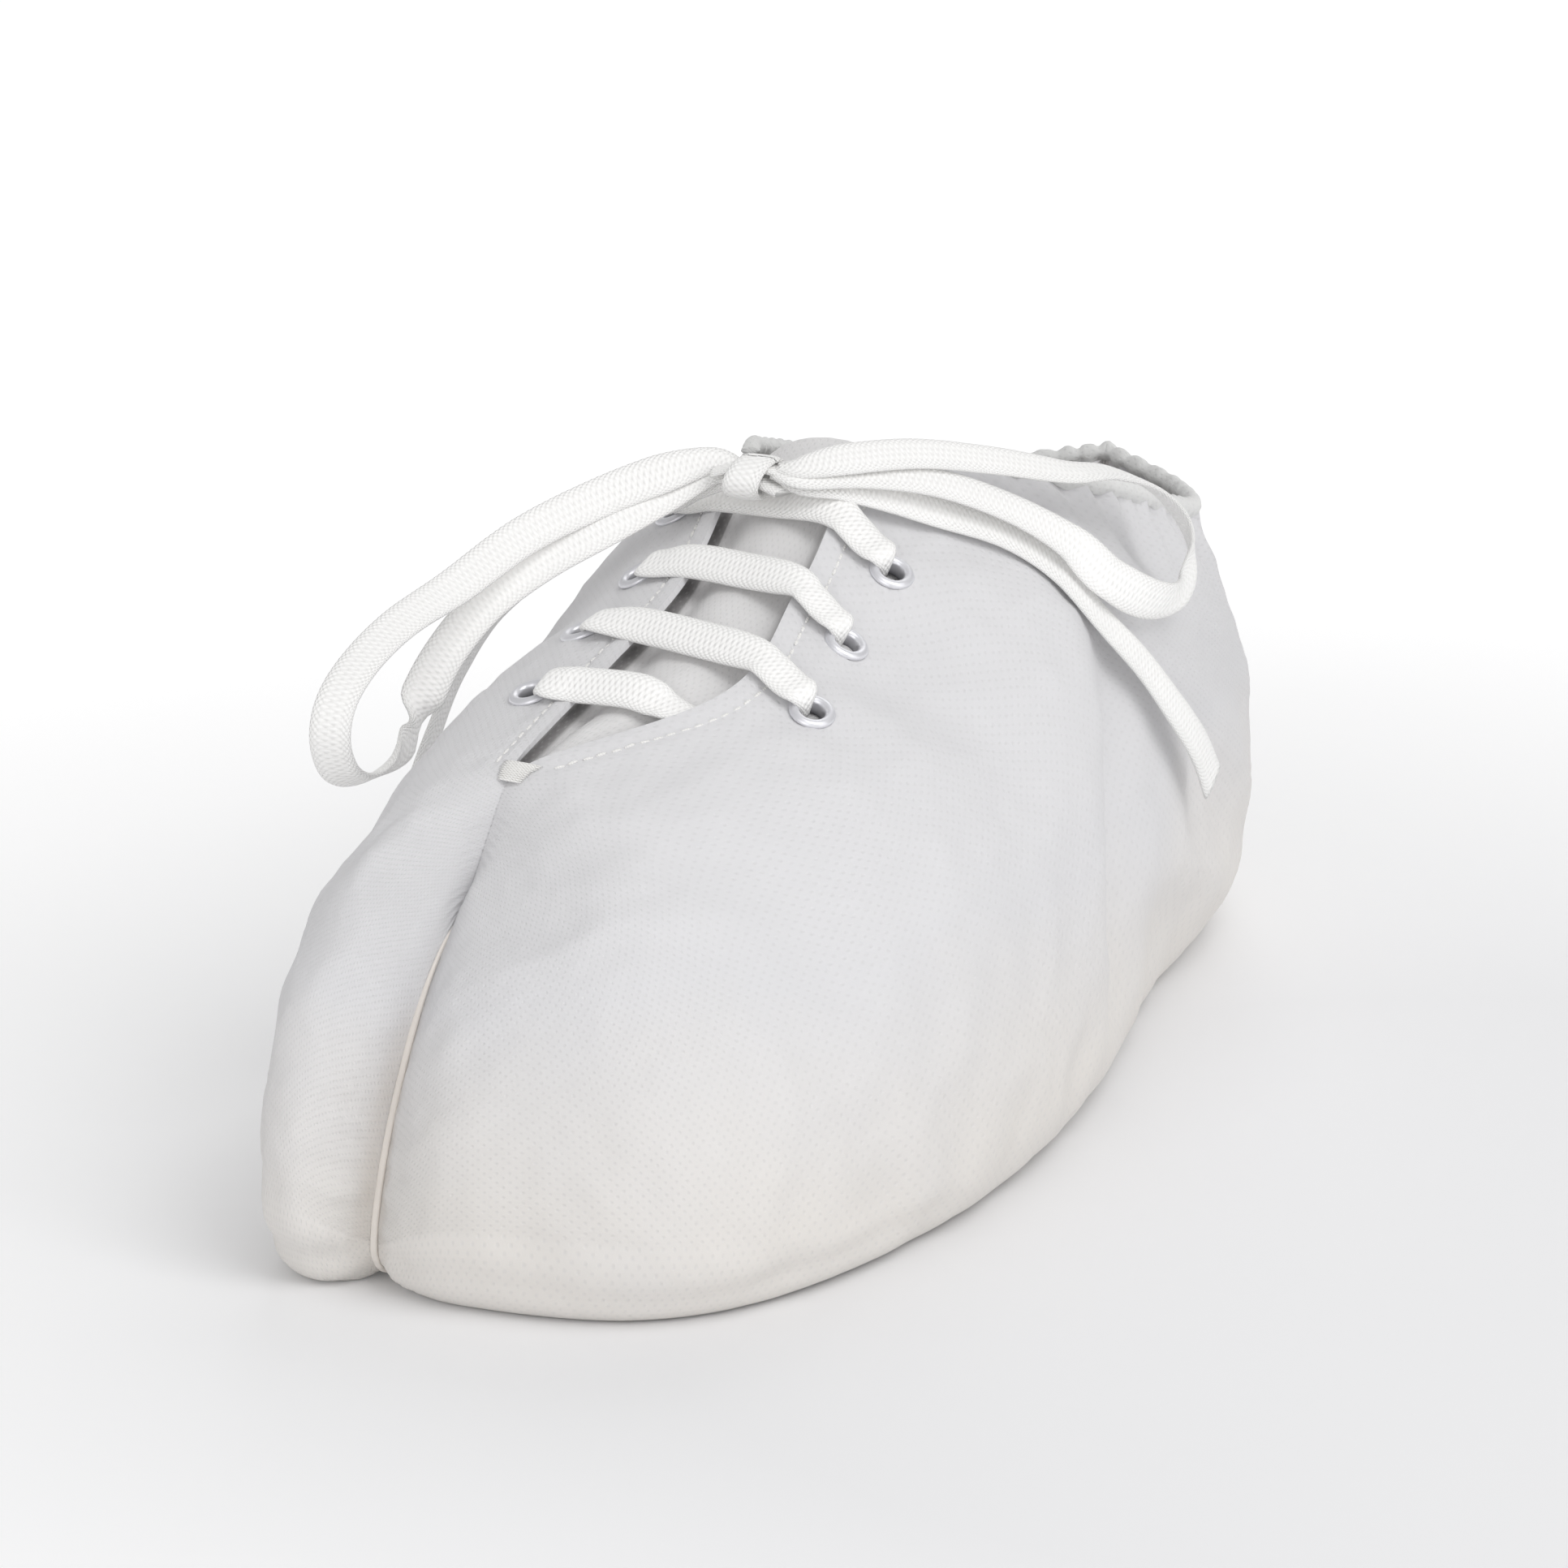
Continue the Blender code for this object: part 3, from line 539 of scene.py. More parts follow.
# %% Folds and creases
TOE_SEAM_X = -12.0
FOLDS = (    # x, along and z of both ends, then the half width and the height
    (4, 36, 56, 10, 2, 12, 9, 2.6),        # puffed edge beside the toe's seam
    (-22, 52, 66, -27, 14, 20, 8, 1.8),
    (56, 160, 40, 40, 262, 8, 7, 2.8),     # folds that run down from the opening to the sole
    (49, 205, 66, 44, 262, 22, 7, 2.4),
    (46, 190, 88, 60, 150, 34, 8, -2.2),
    (40, 236, 66, 24, 286, 30, 7, 1.8),
    (-40, 200, 84, -50, 150, 34, 8, -2.2),
    (-39, 212, 66, -36, 262, 22, 7, 2.4),
    (-46, 170, 60, -40, 236, 12, 7, 2.4),
    (-34, 240, 66, -22, 285, 30, 7, 1.8),
    (30, 62, 66, 52, 24, 26, 10, 1.6),
    (26, 110, 90, 62, 84, 40, 10, 1.2),
)


def near_segment(points, start, end):
    run = np.array(end, float) - start
    t = ramp((points - start) @ run / (run @ run))
    return np.linalg.norm(points - (start + t[:, None] * run), axis=1), t


def fold_relief(side, points):
    lift = np.zeros(len(points))
    for *line, half_width, high in FOLDS:
        start, end = np.array(line, float).reshape(2, 3)
        if np.sign(start[0] + end[0] - 2 * TOE_SEAM_X) == side:
            far, t = near_segment(points, start, end)
            lift += high * hill(far, half_width) * np.sin(math.pi * np.clip(t, 0.04, 0.96))
    return lift * ramp((points[:, 2] - 4) / 10)


def crumple(points, size, seed):
    """Faint sharp creases, between 0 and 1, about size millimetres apart."""
    shift = Vector((seed, -seed, 2 * seed))
    return np.array([
        noise.ridged_multi_fractal(Vector(point) / size + shift, 0.9, 2.1, 3, 1.0, 2.0) / 2.2
        for point in points
    ])


print(len(FOLDS), "folds; a crease value:", crumple(np.array([[1.0, 2.0, 3.0]]), 30.0, 1.0).round(2))

# %% The line of the centre seam and its groove
GROOVE = (    # a share of the seam's length, then the groove's depth and half width there
    (0.00, 0.2, 4.0), (0.02, 0.6, 4.0), (0.07, 2.0, 4.5),
    (0.14, 2.5, 5.0), (0.19, 1.6, 4.5), (1.00, 1.6, 4.5),
)


def centre_line(count=400):
    down = np.linspace(3, 0, count // 4)
    toe = bare_skin(1, np.zeros_like(down), down)
    ribs = np.linspace(0, 1, count // 2)[1:-1]
    sole = bare_skin(1, ribs, 0.0)
    heel = bare_skin(1, np.ones_like(down), down[::-1])
    points = np.concatenate([toe, sole, heel])
    points = evenly(points, length_of(points) / (count - 1))
    tangent = np.gradient(points, axis=0)
    return points, unit(np.column_stack([np.zeros(len(points)), tangent[:, 2], -tangent[:, 1]]))


def groove(place_along):
    where, deep, half = (np.array(column, float) for column in zip(*GROOVE))
    return np.interp(place_along, where, deep), np.interp(place_along, where, half)


SEAM_LINE, SEAM_OUT = centre_line()
print("centre seam:", round(length_of(SEAM_LINE)), "mm")

# %% The skin with its relief
PLEATS = dict(first=24.0, last=96.0, pitch=9.0, high=0.8, reach=26.0)
HEM_STEP = 4.2    # the stitched line of the facings lies this far from their edge
EDGE_RUN = 420.0    # the gathers of the top edge are spaced as if it had this length


def near_seam(points):
    nearest = np.zeros(len(points), int)
    far = np.zeros(len(points))
    for part in np.array_split(np.arange(len(points)), 40):
        apart = np.linalg.norm(points[part][:, None, :] - SEAM_LINE[None, :, :], axis=2)
        nearest[part] = apart.argmin(axis=1)
        far[part] = apart.min(axis=1)
    return nearest, far


def gathers(run, pitch, seed):
    """Uneven waves along a drawn-up edge, from -1 to 1."""
    sway = 0.35 * np.sin(run / (2.3 * pitch) + seed) + 0.2 * np.sin(run / (0.9 * pitch) + 2 * seed)
    return np.sin(math.tau * (run / pitch + sway)) * (0.75 + 0.25 * np.sin(run / (1.7 * pitch) + 3 * seed))


def edge_relief(side, where, points, nearest, from_seam, from_top):
    """The fine relief beside the seam, the elastic and the facings' edges."""
    upper = ramp((points[:, 2] - 2) / 12) * ramp(from_top / 8)
    lift = upper * (crumple(points, 38.0, 2.0 + side) - 0.5) * 2.4
    lift += upper * (crumple(points, 14.0, 5.0 + side) - 0.5) * 0.65
    low = points[:, 2] - (6.5 + 1.4 * np.sin(points[:, 0] / 11.0 + side))
    lift -= 0.9 * hill(low, 2.2) * ramp((80 - points[:, 1]) / 30) * ramp(from_seam / 8)
    pulled = ramp((where - THROAT_END) / 0.05)
    lift += pulled * gathers(where * EDGE_RUN, 6.4, 1.0 + side) * np.exp(-from_top / 8)
    lift += pulled * gathers(where * EDGE_RUN, 11.0, 6.0 + side) * hill(from_top - 10, 14) * 0.8
    seam_run = nearest * length_of(SEAM_LINE) / len(SEAM_LINE)
    at_toe = ramp((0.42 - nearest / len(SEAM_LINE)) / 0.1) * ramp(nearest / 40)
    lift += gathers(seam_run, 6.5, 4.0 + side) * hill(from_seam - 5, 5) * at_toe * 0.32
    at_heel = ramp((nearest / len(SEAM_LINE) - 0.75) / 0.1)
    lift += gathers(seam_run, 9.0, 7.0 + side) * hill(from_seam - 6, 7) * at_heel * 0.45
    sewn = ramp((THROAT_START - where) / 0.02)
    lift += gathers(where * 300.0, 5.0, 2.5) * sewn * hill(from_top - 3.5, 3.0) * 0.14
    facing = ramp((where - THROAT_START) / 0.02) * ramp((THROAT_END + 0.02 - where) / 0.02)
    lift += 0.35 * facing * ramp((HEM_STEP - from_top) / 0.8)
    lift -= 0.40 * facing * hill(from_top - HEM_STEP, 0.7)
    lift += facing * gathers(where * EDGE_RUN, 5.2, 3.0 + side) * hill(from_top - HEM_STEP - 2, 2.5) * 0.18
    return lift


def skin(side, where, across, detail=1.0, settled=None):
    """The outer face of one half, and how far each point lies from the centre seam."""
    points = bare_skin(side, where, across)
    normals = outward_normals(side, where, across)
    nearest, from_seam = near_seam(points)
    from_top = np.linalg.norm(points - bare_skin(side, where, TOP), axis=1)
    away = ramp(from_seam / 12) * ramp((TOP - across) / 0.15)
    lift = fold_relief(side, points) * away
    if detail:
        lift += detail * edge_relief(side, where, points, nearest, from_seam, from_top)
    points = points + normals * lift[:, None]
    sewn = ramp((THROAT_START - where) / 0.015) * ramp(where / 0.03)
    points[:, 2] -= 0.3 * sewn * hill(from_top, 1.6, 1.3)
    if settled is not None:
        points = points + settled
    fan = (points[:, 1] - PLEATS["first"]) / PLEATS["pitch"]
    inside = (points[:, 1] > PLEATS["first"]) & (points[:, 1] < PLEATS["last"])
    fade = ramp(1 - from_seam / PLEATS["reach"]) * ramp((1 - across) / 0.3)
    points[:, 2] += PLEATS["high"] * (0.5 - 0.5 * np.cos(math.tau * fan)) * fade * inside
    deep, half = groove(nearest / (len(SEAM_LINE) - 1))
    sunk = hill(from_seam, (0.60 if side < 0 else 0.48) * half, 1.7)
    sunk = sunk * ramp(np.minimum(nearest, len(SEAM_LINE) - 1 - nearest) / 9)
    height = ((points - SEAM_LINE[nearest]) * SEAM_OUT[nearest]).sum(axis=1)
    points = points - SEAM_OUT[nearest] * ((height + deep) * sunk)[:, None]
    points[:, 2] = np.maximum(points[:, 2], 0.0)
    return points, from_seam


print("skin at the instep:", skin(1, np.array([0.45]), 2.9)[0].round(1)[0])

# %% [markdown]
# ## Sheets and tubes
# Every soft piece is a grid of quads carried onto a table of points. A rolled grid becomes a tube, whose
# long seam is joined and whose ends are closed.

# %% From a table of points to a piece
def points_of(mesh):
    points = np.empty(3 * len(mesh.vertices))
    mesh.vertices.foreach_get("co", points)
    return points.reshape(-1, 3)


def keep_values(mesh, name, values):
    """Stores one value on each point, for the finish to read."""
    mesh.attributes.new(name, "FLOAT", "POINT").data.foreach_set("value", values)


def grid_mesh(name, table, cut=(1.0, 1.0)):
    """A sheet of quads over a table of points [row][column], with flat coordinates named cut."""
    rows, columns = table.shape[:2]
    bm = bmesh.new()
    bm.loops.layers.uv.new("cut")
    bmesh.ops.create_grid(bm, x_segments=columns - 1, y_segments=rows - 1, size=0.5, calc_uvs=True)
    mesh = mesh_from(bm, name)
    flat = points_of(mesh)
    row = np.rint((flat[:, 1] + 0.5) * (rows - 1)).astype(int)
    column = np.rint((flat[:, 0] + 0.5) * (columns - 1)).astype(int)
    mesh.vertices.foreach_set("co", place(table[row, column]).ravel())
    corners = np.empty(2 * len(mesh.loops))
    mesh.uv_layers["cut"].data.foreach_get("uv", corners)
    mesh.uv_layers["cut"].data.foreach_set("uv", (corners.reshape(-1, 2) * cut).ravel())
    mesh.update()
    return mesh


def add_piece(name, mesh, material):
    """Puts a mesh into the scene as a piece that rides on the cover."""
    mesh.materials.clear()
    mesh.materials.append(material)
    piece = bpy.data.objects.new(name, mesh)
    bpy.context.scene.collection.objects.link(piece)
    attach(piece, "root")
    return piece


def close_tube(mesh):
    """Joins a rolled sheet at its long seam and closes both ends."""
    bm = bmesh.new()
    bm.from_mesh(mesh)
    bmesh.ops.remove_doubles(bm, verts=bm.verts, dist=1e-7)
    open_edges = [edge for edge in bm.edges if edge.is_boundary]
    if open_edges:
        bmesh.ops.holes_fill(bm, edges=open_edges, sides=0)
    bmesh.ops.recalc_face_normals(bm, faces=bm.faces)
    bm.to_mesh(mesh)
    bm.free()
    mesh.shade_smooth()


print("a flat sheet of 2 by 2 points:", len(grid_mesh("trial", np.zeros((2, 2, 3))).polygons), "face")

# %% [markdown]
# ## The two halves of the cover
# The cloth starts as a flat grid whose points are carried onto the ribs. The eyelets need holes, which
# are opened in the grid before it gets its thickness, so that their rims have walls as well. A value on
# each point tells the finish how close the seam is, and the finish tints the cloth dark tan there.

# %% Where the eyelets sit
EYELET_HOLE = 2.3
LACE_COLUMNS = ("left_along", "left_x", "right_along", "right_x", "goes_under")
LACE_ROWS = [dict(zip(LACE_COLUMNS, row)) for row in (
    (84, -21.0, 84, 15.0, True),
    (107, -22.5, 95, 28.0, False),
    (130, -23.5, 118, 24.6, False),
    (151, -26.0, 140, 22.0, False),
)]


def on_skin(side, x, along):
    """The place on one half's upper face that has this x and this distance from the toe."""
    where, across = np.meshgrid(np.linspace(0.15, 0.75, 161), np.linspace(2.2, 3.0, 121))
    where, across = where.ravel(), across.ravel()
    points = bare_skin(side, where, across)
    best = np.hypot(points[:, 0] - x, points[:, 1] - along).argsort()[:1]
    point = skin(side, where[best], across[best], 0.0)[0][0]
    return point, outward_normals(side, where[best], across[best])[0]


EYELETS = {}
for number, row in enumerate(LACE_ROWS, start=1):
    for side, word in ((-1, "left"), (1, "right")):
        if side < 0 or not row["goes_under"]:
            EYELETS[word, number] = on_skin(side, row[word + "_x"], row[word + "_along"])
print(len(EYELETS), "eyelets")

# %% [markdown]
# ### Let the cloth settle
# A cover is cut larger than the shoe in it, so its cloth has a little too much length everywhere and
# lies in soft folds between the places where it is held: the sole, the seam, the facings and the
# elastic. A cloth simulation finds those folds. Each half is grown by two per cent, blown up slightly, and
# held at those places. Only the movement is kept, and it is carried over to the fine grid.

# %% Find the folds with a cloth simulation
LANES = ((0.0, 0.26, 0.36, 1.0), (0.0, 1.0, 2.0, 3.0))    # share of the grid's width spent on sole and turn
SIM_ROWS, SIM_COLUMNS, SIM_FRAMES = 127, 66, 26
CLOTH_RULES = dict(
    quality=6, mass=0.2, tension_stiffness=12, compression_stiffness=12, shear_stiffness=4,
    bending_stiffness=8, tension_damping=8, compression_damping=8, shear_damping=8, bending_damping=2,
    vertex_group_mass="held", shrink_min=-0.02, use_pressure=True, uniform_pressure_force=1.0,
)


def half_grid(rows, columns):
    lane = np.interp(np.linspace(0, 1, columns), *LANES)
    return np.repeat(np.linspace(0, 1, rows), columns), np.tile(lane, rows)


def grid_order(rows, columns):
    """The place in a table of points of each vertex that create_grid makes."""
    bm = bmesh.new()
    bmesh.ops.create_grid(bm, x_segments=columns - 1, y_segments=rows - 1, size=0.5)
    spots = [((vert.co.y + 0.5) * (rows - 1), (vert.co.x + 0.5) * (columns - 1)) for vert in bm.verts]
    bm.free()
    return np.array([round(row) * columns + round(column) for row, column in spots])


def settle_cloth(side):
    """How far the loose cloth of one half moves at each point of the coarse grid, in millimetres."""
    where, across = half_grid(SIM_ROWS, SIM_COLUMNS)
    start, from_seam = skin(side, where, across, 0.0)
    from_top = np.linalg.norm(start - skin(side, where, TOP, 0.0)[0], axis=1)
    stiff = np.where((where > THROAT_START - 0.02) & (where < THROAT_END + 0.03), 12.0, 4.0)
    held = ramp(1 - (across - 1) / 0.6)
    held = np.maximum(held, ramp(1 - (from_seam - 1.5) / 5))
    held = np.maximum(held, ramp(1 - (from_top - 0.5) / stiff))
    held = np.maximum(held, 0.5 * ramp(1 - where / 0.12))
    mesh = grid_mesh("loose_cloth", start.reshape(SIM_ROWS, SIM_COLUMNS, 3))
    if side > 0:
        mesh.flip_normals()
    loose = bpy.data.objects.new("loose_cloth", mesh)
    bpy.context.scene.collection.objects.link(loose)
    order = grid_order(SIM_ROWS, SIM_COLUMNS)
    group = loose.vertex_groups.new(name="held")
    for vertex, spot in enumerate(order):
        group.add([vertex], float(held[spot]), "REPLACE")
    cloth = loose.modifiers.new("cloth", "CLOTH")
    for key, value in CLOTH_RULES.items():
        setattr(cloth.settings, key, value)
    cloth.settings.effector_weights.gravity = 0
    cloth.collision_settings.use_collision = False
    cloth.point_cache.frame_end = SIM_FRAMES
    for frame_number in range(1, SIM_FRAMES + 1):
        bpy.context.scene.frame_set(frame_number)
    shaped = loose.evaluated_get(bpy.context.evaluated_depsgraph_get()).to_mesh()
    table = np.zeros((SIM_ROWS * SIM_COLUMNS, 3))
    table[order] = (points_of(shaped) - points_of(mesh)) / MM
    bpy.data.objects.remove(loose)
    bpy.context.scene.frame_set(1)
    return table.reshape(SIM_ROWS, SIM_COLUMNS, 3)


def smoothed(table, rounds):
    for _ in range(rounds):
        wide = np.pad(table, ((1, 1), (1, 1), (0, 0)), "edge")
        table = (4 * table + wide[:-2, 1:-1] + wide[2:, 1:-1] + wide[1:-1, :-2] + wide[1:-1, 2:]) / 8
    return table


def carried_over(table, rows, columns):
    """The coarse table on the fine grid, by smooth curves both ways."""
    tall = smooth_rows(table, np.linspace(0, 1, rows))
    return np.swapaxes(smooth_rows(np.swapaxes(tall, 0, 1), np.linspace(0, 1, columns)), 0, 1)


SETTLED = {side: smoothed(settle_cloth(side), 3) for side in (-1, 1)}
for side, table in SETTLED.items():
    print("side", side, "moves by up to", round(float(np.linalg.norm(table, axis=2).max()), 1), "mm")

# %% Cloth with thickness
WALL = 1.2
FINE_ROWS, FINE_COLUMNS = 251, 131
MOST_MOVED = 4.5


def settle(piece):
    """Applies the piece's modifiers to its mesh."""
    graph = bpy.context.evaluated_depsgraph_get()
    mesh = bpy.data.meshes.new_from_object(piece.evaluated_get(graph))
    piece.modifiers.clear()
    piece.data = mesh


def give_wall(piece, wall):
    solid = piece.modifiers.new("wall", "SOLIDIFY")
    solid.thickness = wall * MM
    solid.offset = -1.0
    settle(piece)
    piece.data.shade_smooth()
    piece.data.set_sharp_from_angle(angle=math.radians(50))


def open_holes(mesh, centres, radius):
    """Opens round holes: the faces inside are taken out and the rim is drawn to a circle."""
    bm = bmesh.new()
    bm.from_mesh(mesh)
    opened = 0
    for centre in (Vector(place(centre)[0]) for centre in centres):
        inside = [face for face in bm.faces if (face.calc_center_median() - centre).length < radius * MM]
        opened += len(inside)
        bmesh.ops.delete(bm, geom=inside, context="FACES")
        for vert in bm.verts:
            away = vert.co - centre
            if vert.is_boundary and away.length < 2 * radius * MM:
                vert.co = centre + away.normalized() * radius * MM
    bm.to_mesh(mesh)
    bm.free()
    return opened


def eased(table, points):
    """The settled movement, calm over the filled toe and full along the sides and the heel."""
    size = np.linalg.norm(table, axis=2, keepdims=True)
    table = table * np.minimum(1.0, MOST_MOVED / np.maximum(size, 1e-6))
    calm = hill(points[:, :, 1] - 75, 62, 4) * ramp((points[:, :, 2] - 8) / 20)
    calm = np.maximum(calm, hill(points[:, :, 1], 26) * 0.8)
    return table * (1.0 - 0.62 * calm)[:, :, None]


CLOTH = []    # the outer points of both halves and their normals, for the laces that rest on them


def cover_half(name, side, node):
    where, across = half_grid(FINE_ROWS, FINE_COLUMNS)
    rest = bare_skin(side, where, across).reshape(FINE_ROWS, FINE_COLUMNS, 3)
    moved = eased(carried_over(SETTLED[side], FINE_ROWS, FINE_COLUMNS), rest).reshape(-1, 3)
    table, _ = skin(side, where, across, 1.0, moved)
    shape = table.reshape(rest.shape)
    face = unit(np.cross(*np.gradient(shape, axis=(0, 1))) * side)
    CLOTH.append((shape[::2, ::2].reshape(-1, 3), face[::2, ::2].reshape(-1, 3)))
    mesh = grid_mesh(name, shape, (16.0, 33.0))
    if side > 0:
        mesh.flip_normals()
    piece = add_piece(name, mesh, cover_cloth)
    nearest, far = near_seam(points_of(mesh) / MM + (CENTRE_X, CENTRE_ALONG, 0.0))
    keep_values(mesh, "seam", hill(far, 2.4) * ramp((nearest - 16) / 16))
    rims = [spot for (word, _), (spot, _) in EYELETS.items() if word == node.removeprefix("panel_")]
    opened = open_holes(mesh, rims, EYELET_HOLE + 0.8)
    give_wall(piece, WALL)
    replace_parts(piece, node)
    print(name, len(piece.data.polygons), "faces,", opened, "opened for eyelets")
    return piece


cover_left = cover_half("cover_left", -1, "panel_left")
cover_right = cover_half("cover_right", 1, "panel_right")
CLOTH_POINTS, CLOTH_NORMALS = (np.concatenate(parts) for parts in zip(*CLOTH))


def face_area(piece):
    return sum(polygon.area for polygon in piece.data.polygons)


for half in (cover_left, cover_right):
    one_side = face_area(half) / 2
    width = 0.19
    round(one_side / width / 0.86, 3)
    print(half.name, "is cut from", round(one_side * 1e4), "square centimetres")

# %% [markdown]
# ## Eyelets
# Each eyelet is a turned ring: a flange that lies on the cloth and a barrel that goes through it. It is
# spun from a profile of a few points, then set square to the cloth.

# %% Spin the eyelets
def standing(point, normal):
    turn = Vector(normal).to_track_quat("Z", "Y").to_matrix().to_4x4()
    return Matrix.Translation(Vector(place(point)[0])) @ turn


def eyelet(name, point, normal):
    profile = (
        (2.30, -2.2), (2.28, 0.2), (2.42, 0.62), (2.75, 0.92), (3.20, 1.02), (3.65, 0.92), (4.00, 0.62),
        (4.20, 0.25), (4.10, 0.05), (2.75, 0.05), (2.70, -2.2),
    )
    bm = bmesh.new()
    verts = [bm.verts.new((radius * MM, 0, z * MM)) for radius, z in profile]
    edges = [bm.edges.new((a, b)) for a, b in zip(verts, verts[1:] + verts[:1])]
    bmesh.ops.spin(bm, geom=verts + edges, cent=(0, 0, 0), axis=(0, 0, 1), angle=math.tau, steps=40,
                   use_merge=True)
    bmesh.ops.remove_doubles(bm, verts=bm.verts, dist=1e-7)
    bmesh.ops.recalc_face_normals(bm, faces=bm.faces)
    # These values mark the inside of the barrel, which is painted nearly black as its shade.
    depths = [
        min(1.0, max(0.0, (0.3 - vert.co.z / MM) / 0.8)) * (math.hypot(*vert.co.xy) < 2.5 * MM)
        for vert in bm.verts
    ]
    bmesh.ops.transform(bm, matrix=standing(point, normal), verts=bm.verts)
    mesh = mesh_from(bm, name)
    keep_values(mesh, "depth", depths)
    mesh.shade_smooth()
    mesh.set_sharp_from_angle(angle=math.radians(60))
    return add_piece(name, mesh, eyelet_metal)


def seated(point, normal):
    """The eyelet's place on the settled cloth: a plane fitted to the cloth round it."""
    away = CLOTH_POINTS - point
    ring = CLOTH_POINTS[(np.linalg.norm(away, axis=1) < 6.5) & (abs(away @ normal) < 3.0)]
    middle = ring.mean(axis=0)
    tilt = np.linalg.svd(ring - middle)[2][2]
    tilt = unit(tilt * np.sign(tilt @ normal) + 0.3 * normal)
    return point + normal * (((middle - point) @ tilt) / (tilt @ normal)), tilt


for (word, number), (point, normal) in EYELETS.items():
    point, normal = EYELETS[word, number] = seated(point, normal)
    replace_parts(eyelet(f"ring_{word}_{number}", point, normal), f"eyelet_{word}_{number}")
print(len(EYELETS), "rings spun")

# %% [markdown]
# ## Tongue
# Under the lacing lies a loose strip of the same cloth. Its colour is painted paler than the cover's, to
# offset the shade it lies in, and darker in thin strips beside the facings' edges as painted shade. It
# bulges a little between the facings and ends above them in a folded hem.

# %% The tongue
TONGUE_ROWS, TONGUE_COLUMNS = 78, 61
TONGUE_DROP = 2.8      # how far it lies under the facings
TONGUE_UNDER = 0.8     # how far it reaches under them, as a share of the flank
TONGUE_EXTRA = 13.0    # how far its middle stands out above them
TONGUE_BELOW = 0.02    # how far it starts below the throat, as a share of the way from toe to heel
TONGUE_FREE = 14.0     # the throat's width at which it may bulge freely


def tongue_table(stations, across):
    where = np.linspace(THROAT_START - TONGUE_BELOW, THROAT_END - 0.02, stations)
    edges = {side: skin(side, where, TOP, 0.0)[0] for side in (-1, 1)}
    flank = {side: skin(side, where, 2.80, 0.0)[0] for side in (-1, 1)}
    normal = {side: outward_normals(side, where, 2.9) for side in (-1, 1)}
    open_by = np.linalg.norm(edges[1] - edges[-1], axis=1)[:, None]
    room = ramp(open_by / TONGUE_FREE)
    columns = []
    for share in np.linspace(-1, 1, across):
        side = -1 if share < 0 else 1
        if abs(share) > 0.5:
            out = (abs(share) - 0.5) / 0.5
            line = edges[side] + (flank[side] - edges[side]) * out * TONGUE_UNDER
            slack = (1.8 if side < 0 else 1.0) * hill(abs(share) - 0.44, 0.13)
            columns.append(line - normal[side] * (TONGUE_DROP + slack))
        else:
            mix = share + 0.5
            line = edges[-1] * (1 - mix) + edges[1] * mix
            drop = (normal[-1] * (1 - mix) + normal[1] * mix) * TONGUE_DROP
            bulge = room * (TONGUE_DROP - 0.9) * math.cos(math.pi * share) ** 2
            bulge = bulge - 1.8 * hill(share + 0.44, 0.13) - hill(share - 0.44, 0.10)
            columns.append(line - drop + UP * bulge)
    table = np.stack(columns, axis=1)
    share = np.linspace(-1, 1, across)[:, None]
    ahead = unit(table[-1] - table[-4]) + UP * 0.16 * (1 - share**2) + np.array([0.22, 0.0, 0.0]) * share
    extra = np.linspace(0, 1, 12)[1:, None, None]
    end = table[-1:] + ahead[None] * TONGUE_EXTRA * extra * (1 - 0.45 * share[None] ** 2)
    return np.concatenate([table, end])


table = tongue_table(TONGUE_ROWS, TONGUE_COLUMNS)
spots = table.reshape(-1, 3)
creases = (crumple(spots, 16.0, 9.0) - 0.5) * 0.7 + (crumple(spots, 7.0, 3.0) - 0.5) * 0.25
column = np.linspace(-1, 1, TONGUE_COLUMNS)
middle = ramp(1.15 - 1.6 * abs(column))
table[:, :, 2] += creases.reshape(table.shape[:2]) * middle
tongue_mesh = grid_mesh("tongue_cloth", table, (8.0, 9.0))
tongue = add_piece("tongue_cloth", tongue_mesh, tongue_cloth)
# Painted shade: thin strips beside the facings' edges are darkened, where the facings shade the tongue.
beside = 0.95 * hill(column + 0.57, 0.06, 4) + 0.5 * hill(column - 0.46, 0.03)
keep_values(tongue.data, "dim", beside[grid_order(len(table), TONGUE_COLUMNS) % TONGUE_COLUMNS])
give_wall(tongue, WALL)
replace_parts(tongue, "tongue")
one_side = face_area(tongue) / 2
round(one_side / 0.075 / 0.9, 3)
print("tongue end:", table[-1][::10].round(0).tolist())
print("tongue:", len(tongue.data.polygons), "faces")

# %% [markdown]
# ## The free laces
# The bow has two loops and two loose ends of one flat lace. Each is a fixed length of limp braid that
# leaves the knot, bends over the cover and hangs beside it. It is swept along a route of given points.
# A loop lies flat on the cloth and stands on its edge where it turns back.

# %% A flat braided lace along a path
LACE_WIDTH = 8.0
LACE_THICK = 1.2
AROUND = 20


def lace_mesh(name, path, faces, width, thick):
    """width and thick may be single values or one value for each point of the path."""
    tangent = unit(np.gradient(path, axis=0))
    beside = unit(np.cross(tangent, faces))
    up = np.cross(beside, tangent)
    angle = np.linspace(0, math.tau, AROUND + 1)
    wide = 0.5 * np.sign(np.cos(angle)) * abs(np.cos(angle)) ** 0.55
    tall = 0.5 * np.sign(np.sin(angle)) * abs(np.sin(angle)) ** 0.8
    width = np.broadcast_to(width, len(path))[:, None]
    thick = np.broadcast_to(thick, len(path))[:, None]
    table = (path[:, None, :] + beside[:, None, :] * (width * wide)[:, :, None]
             + up[:, None, :] * (thick * tall)[:, :, None])
    mesh = grid_mesh(name, table, (1.0, length_of(path) / LACE_WIDTH))
    close_tube(mesh)
    return mesh


def blurred(values, reach=20):
    """Each value, averaged with its neighbours under a bell."""
    bell = np.hanning(2 * reach + 3)[1:-1]
    return np.convolve(np.pad(values, reach, "edge"), bell / bell.sum(), "valid")


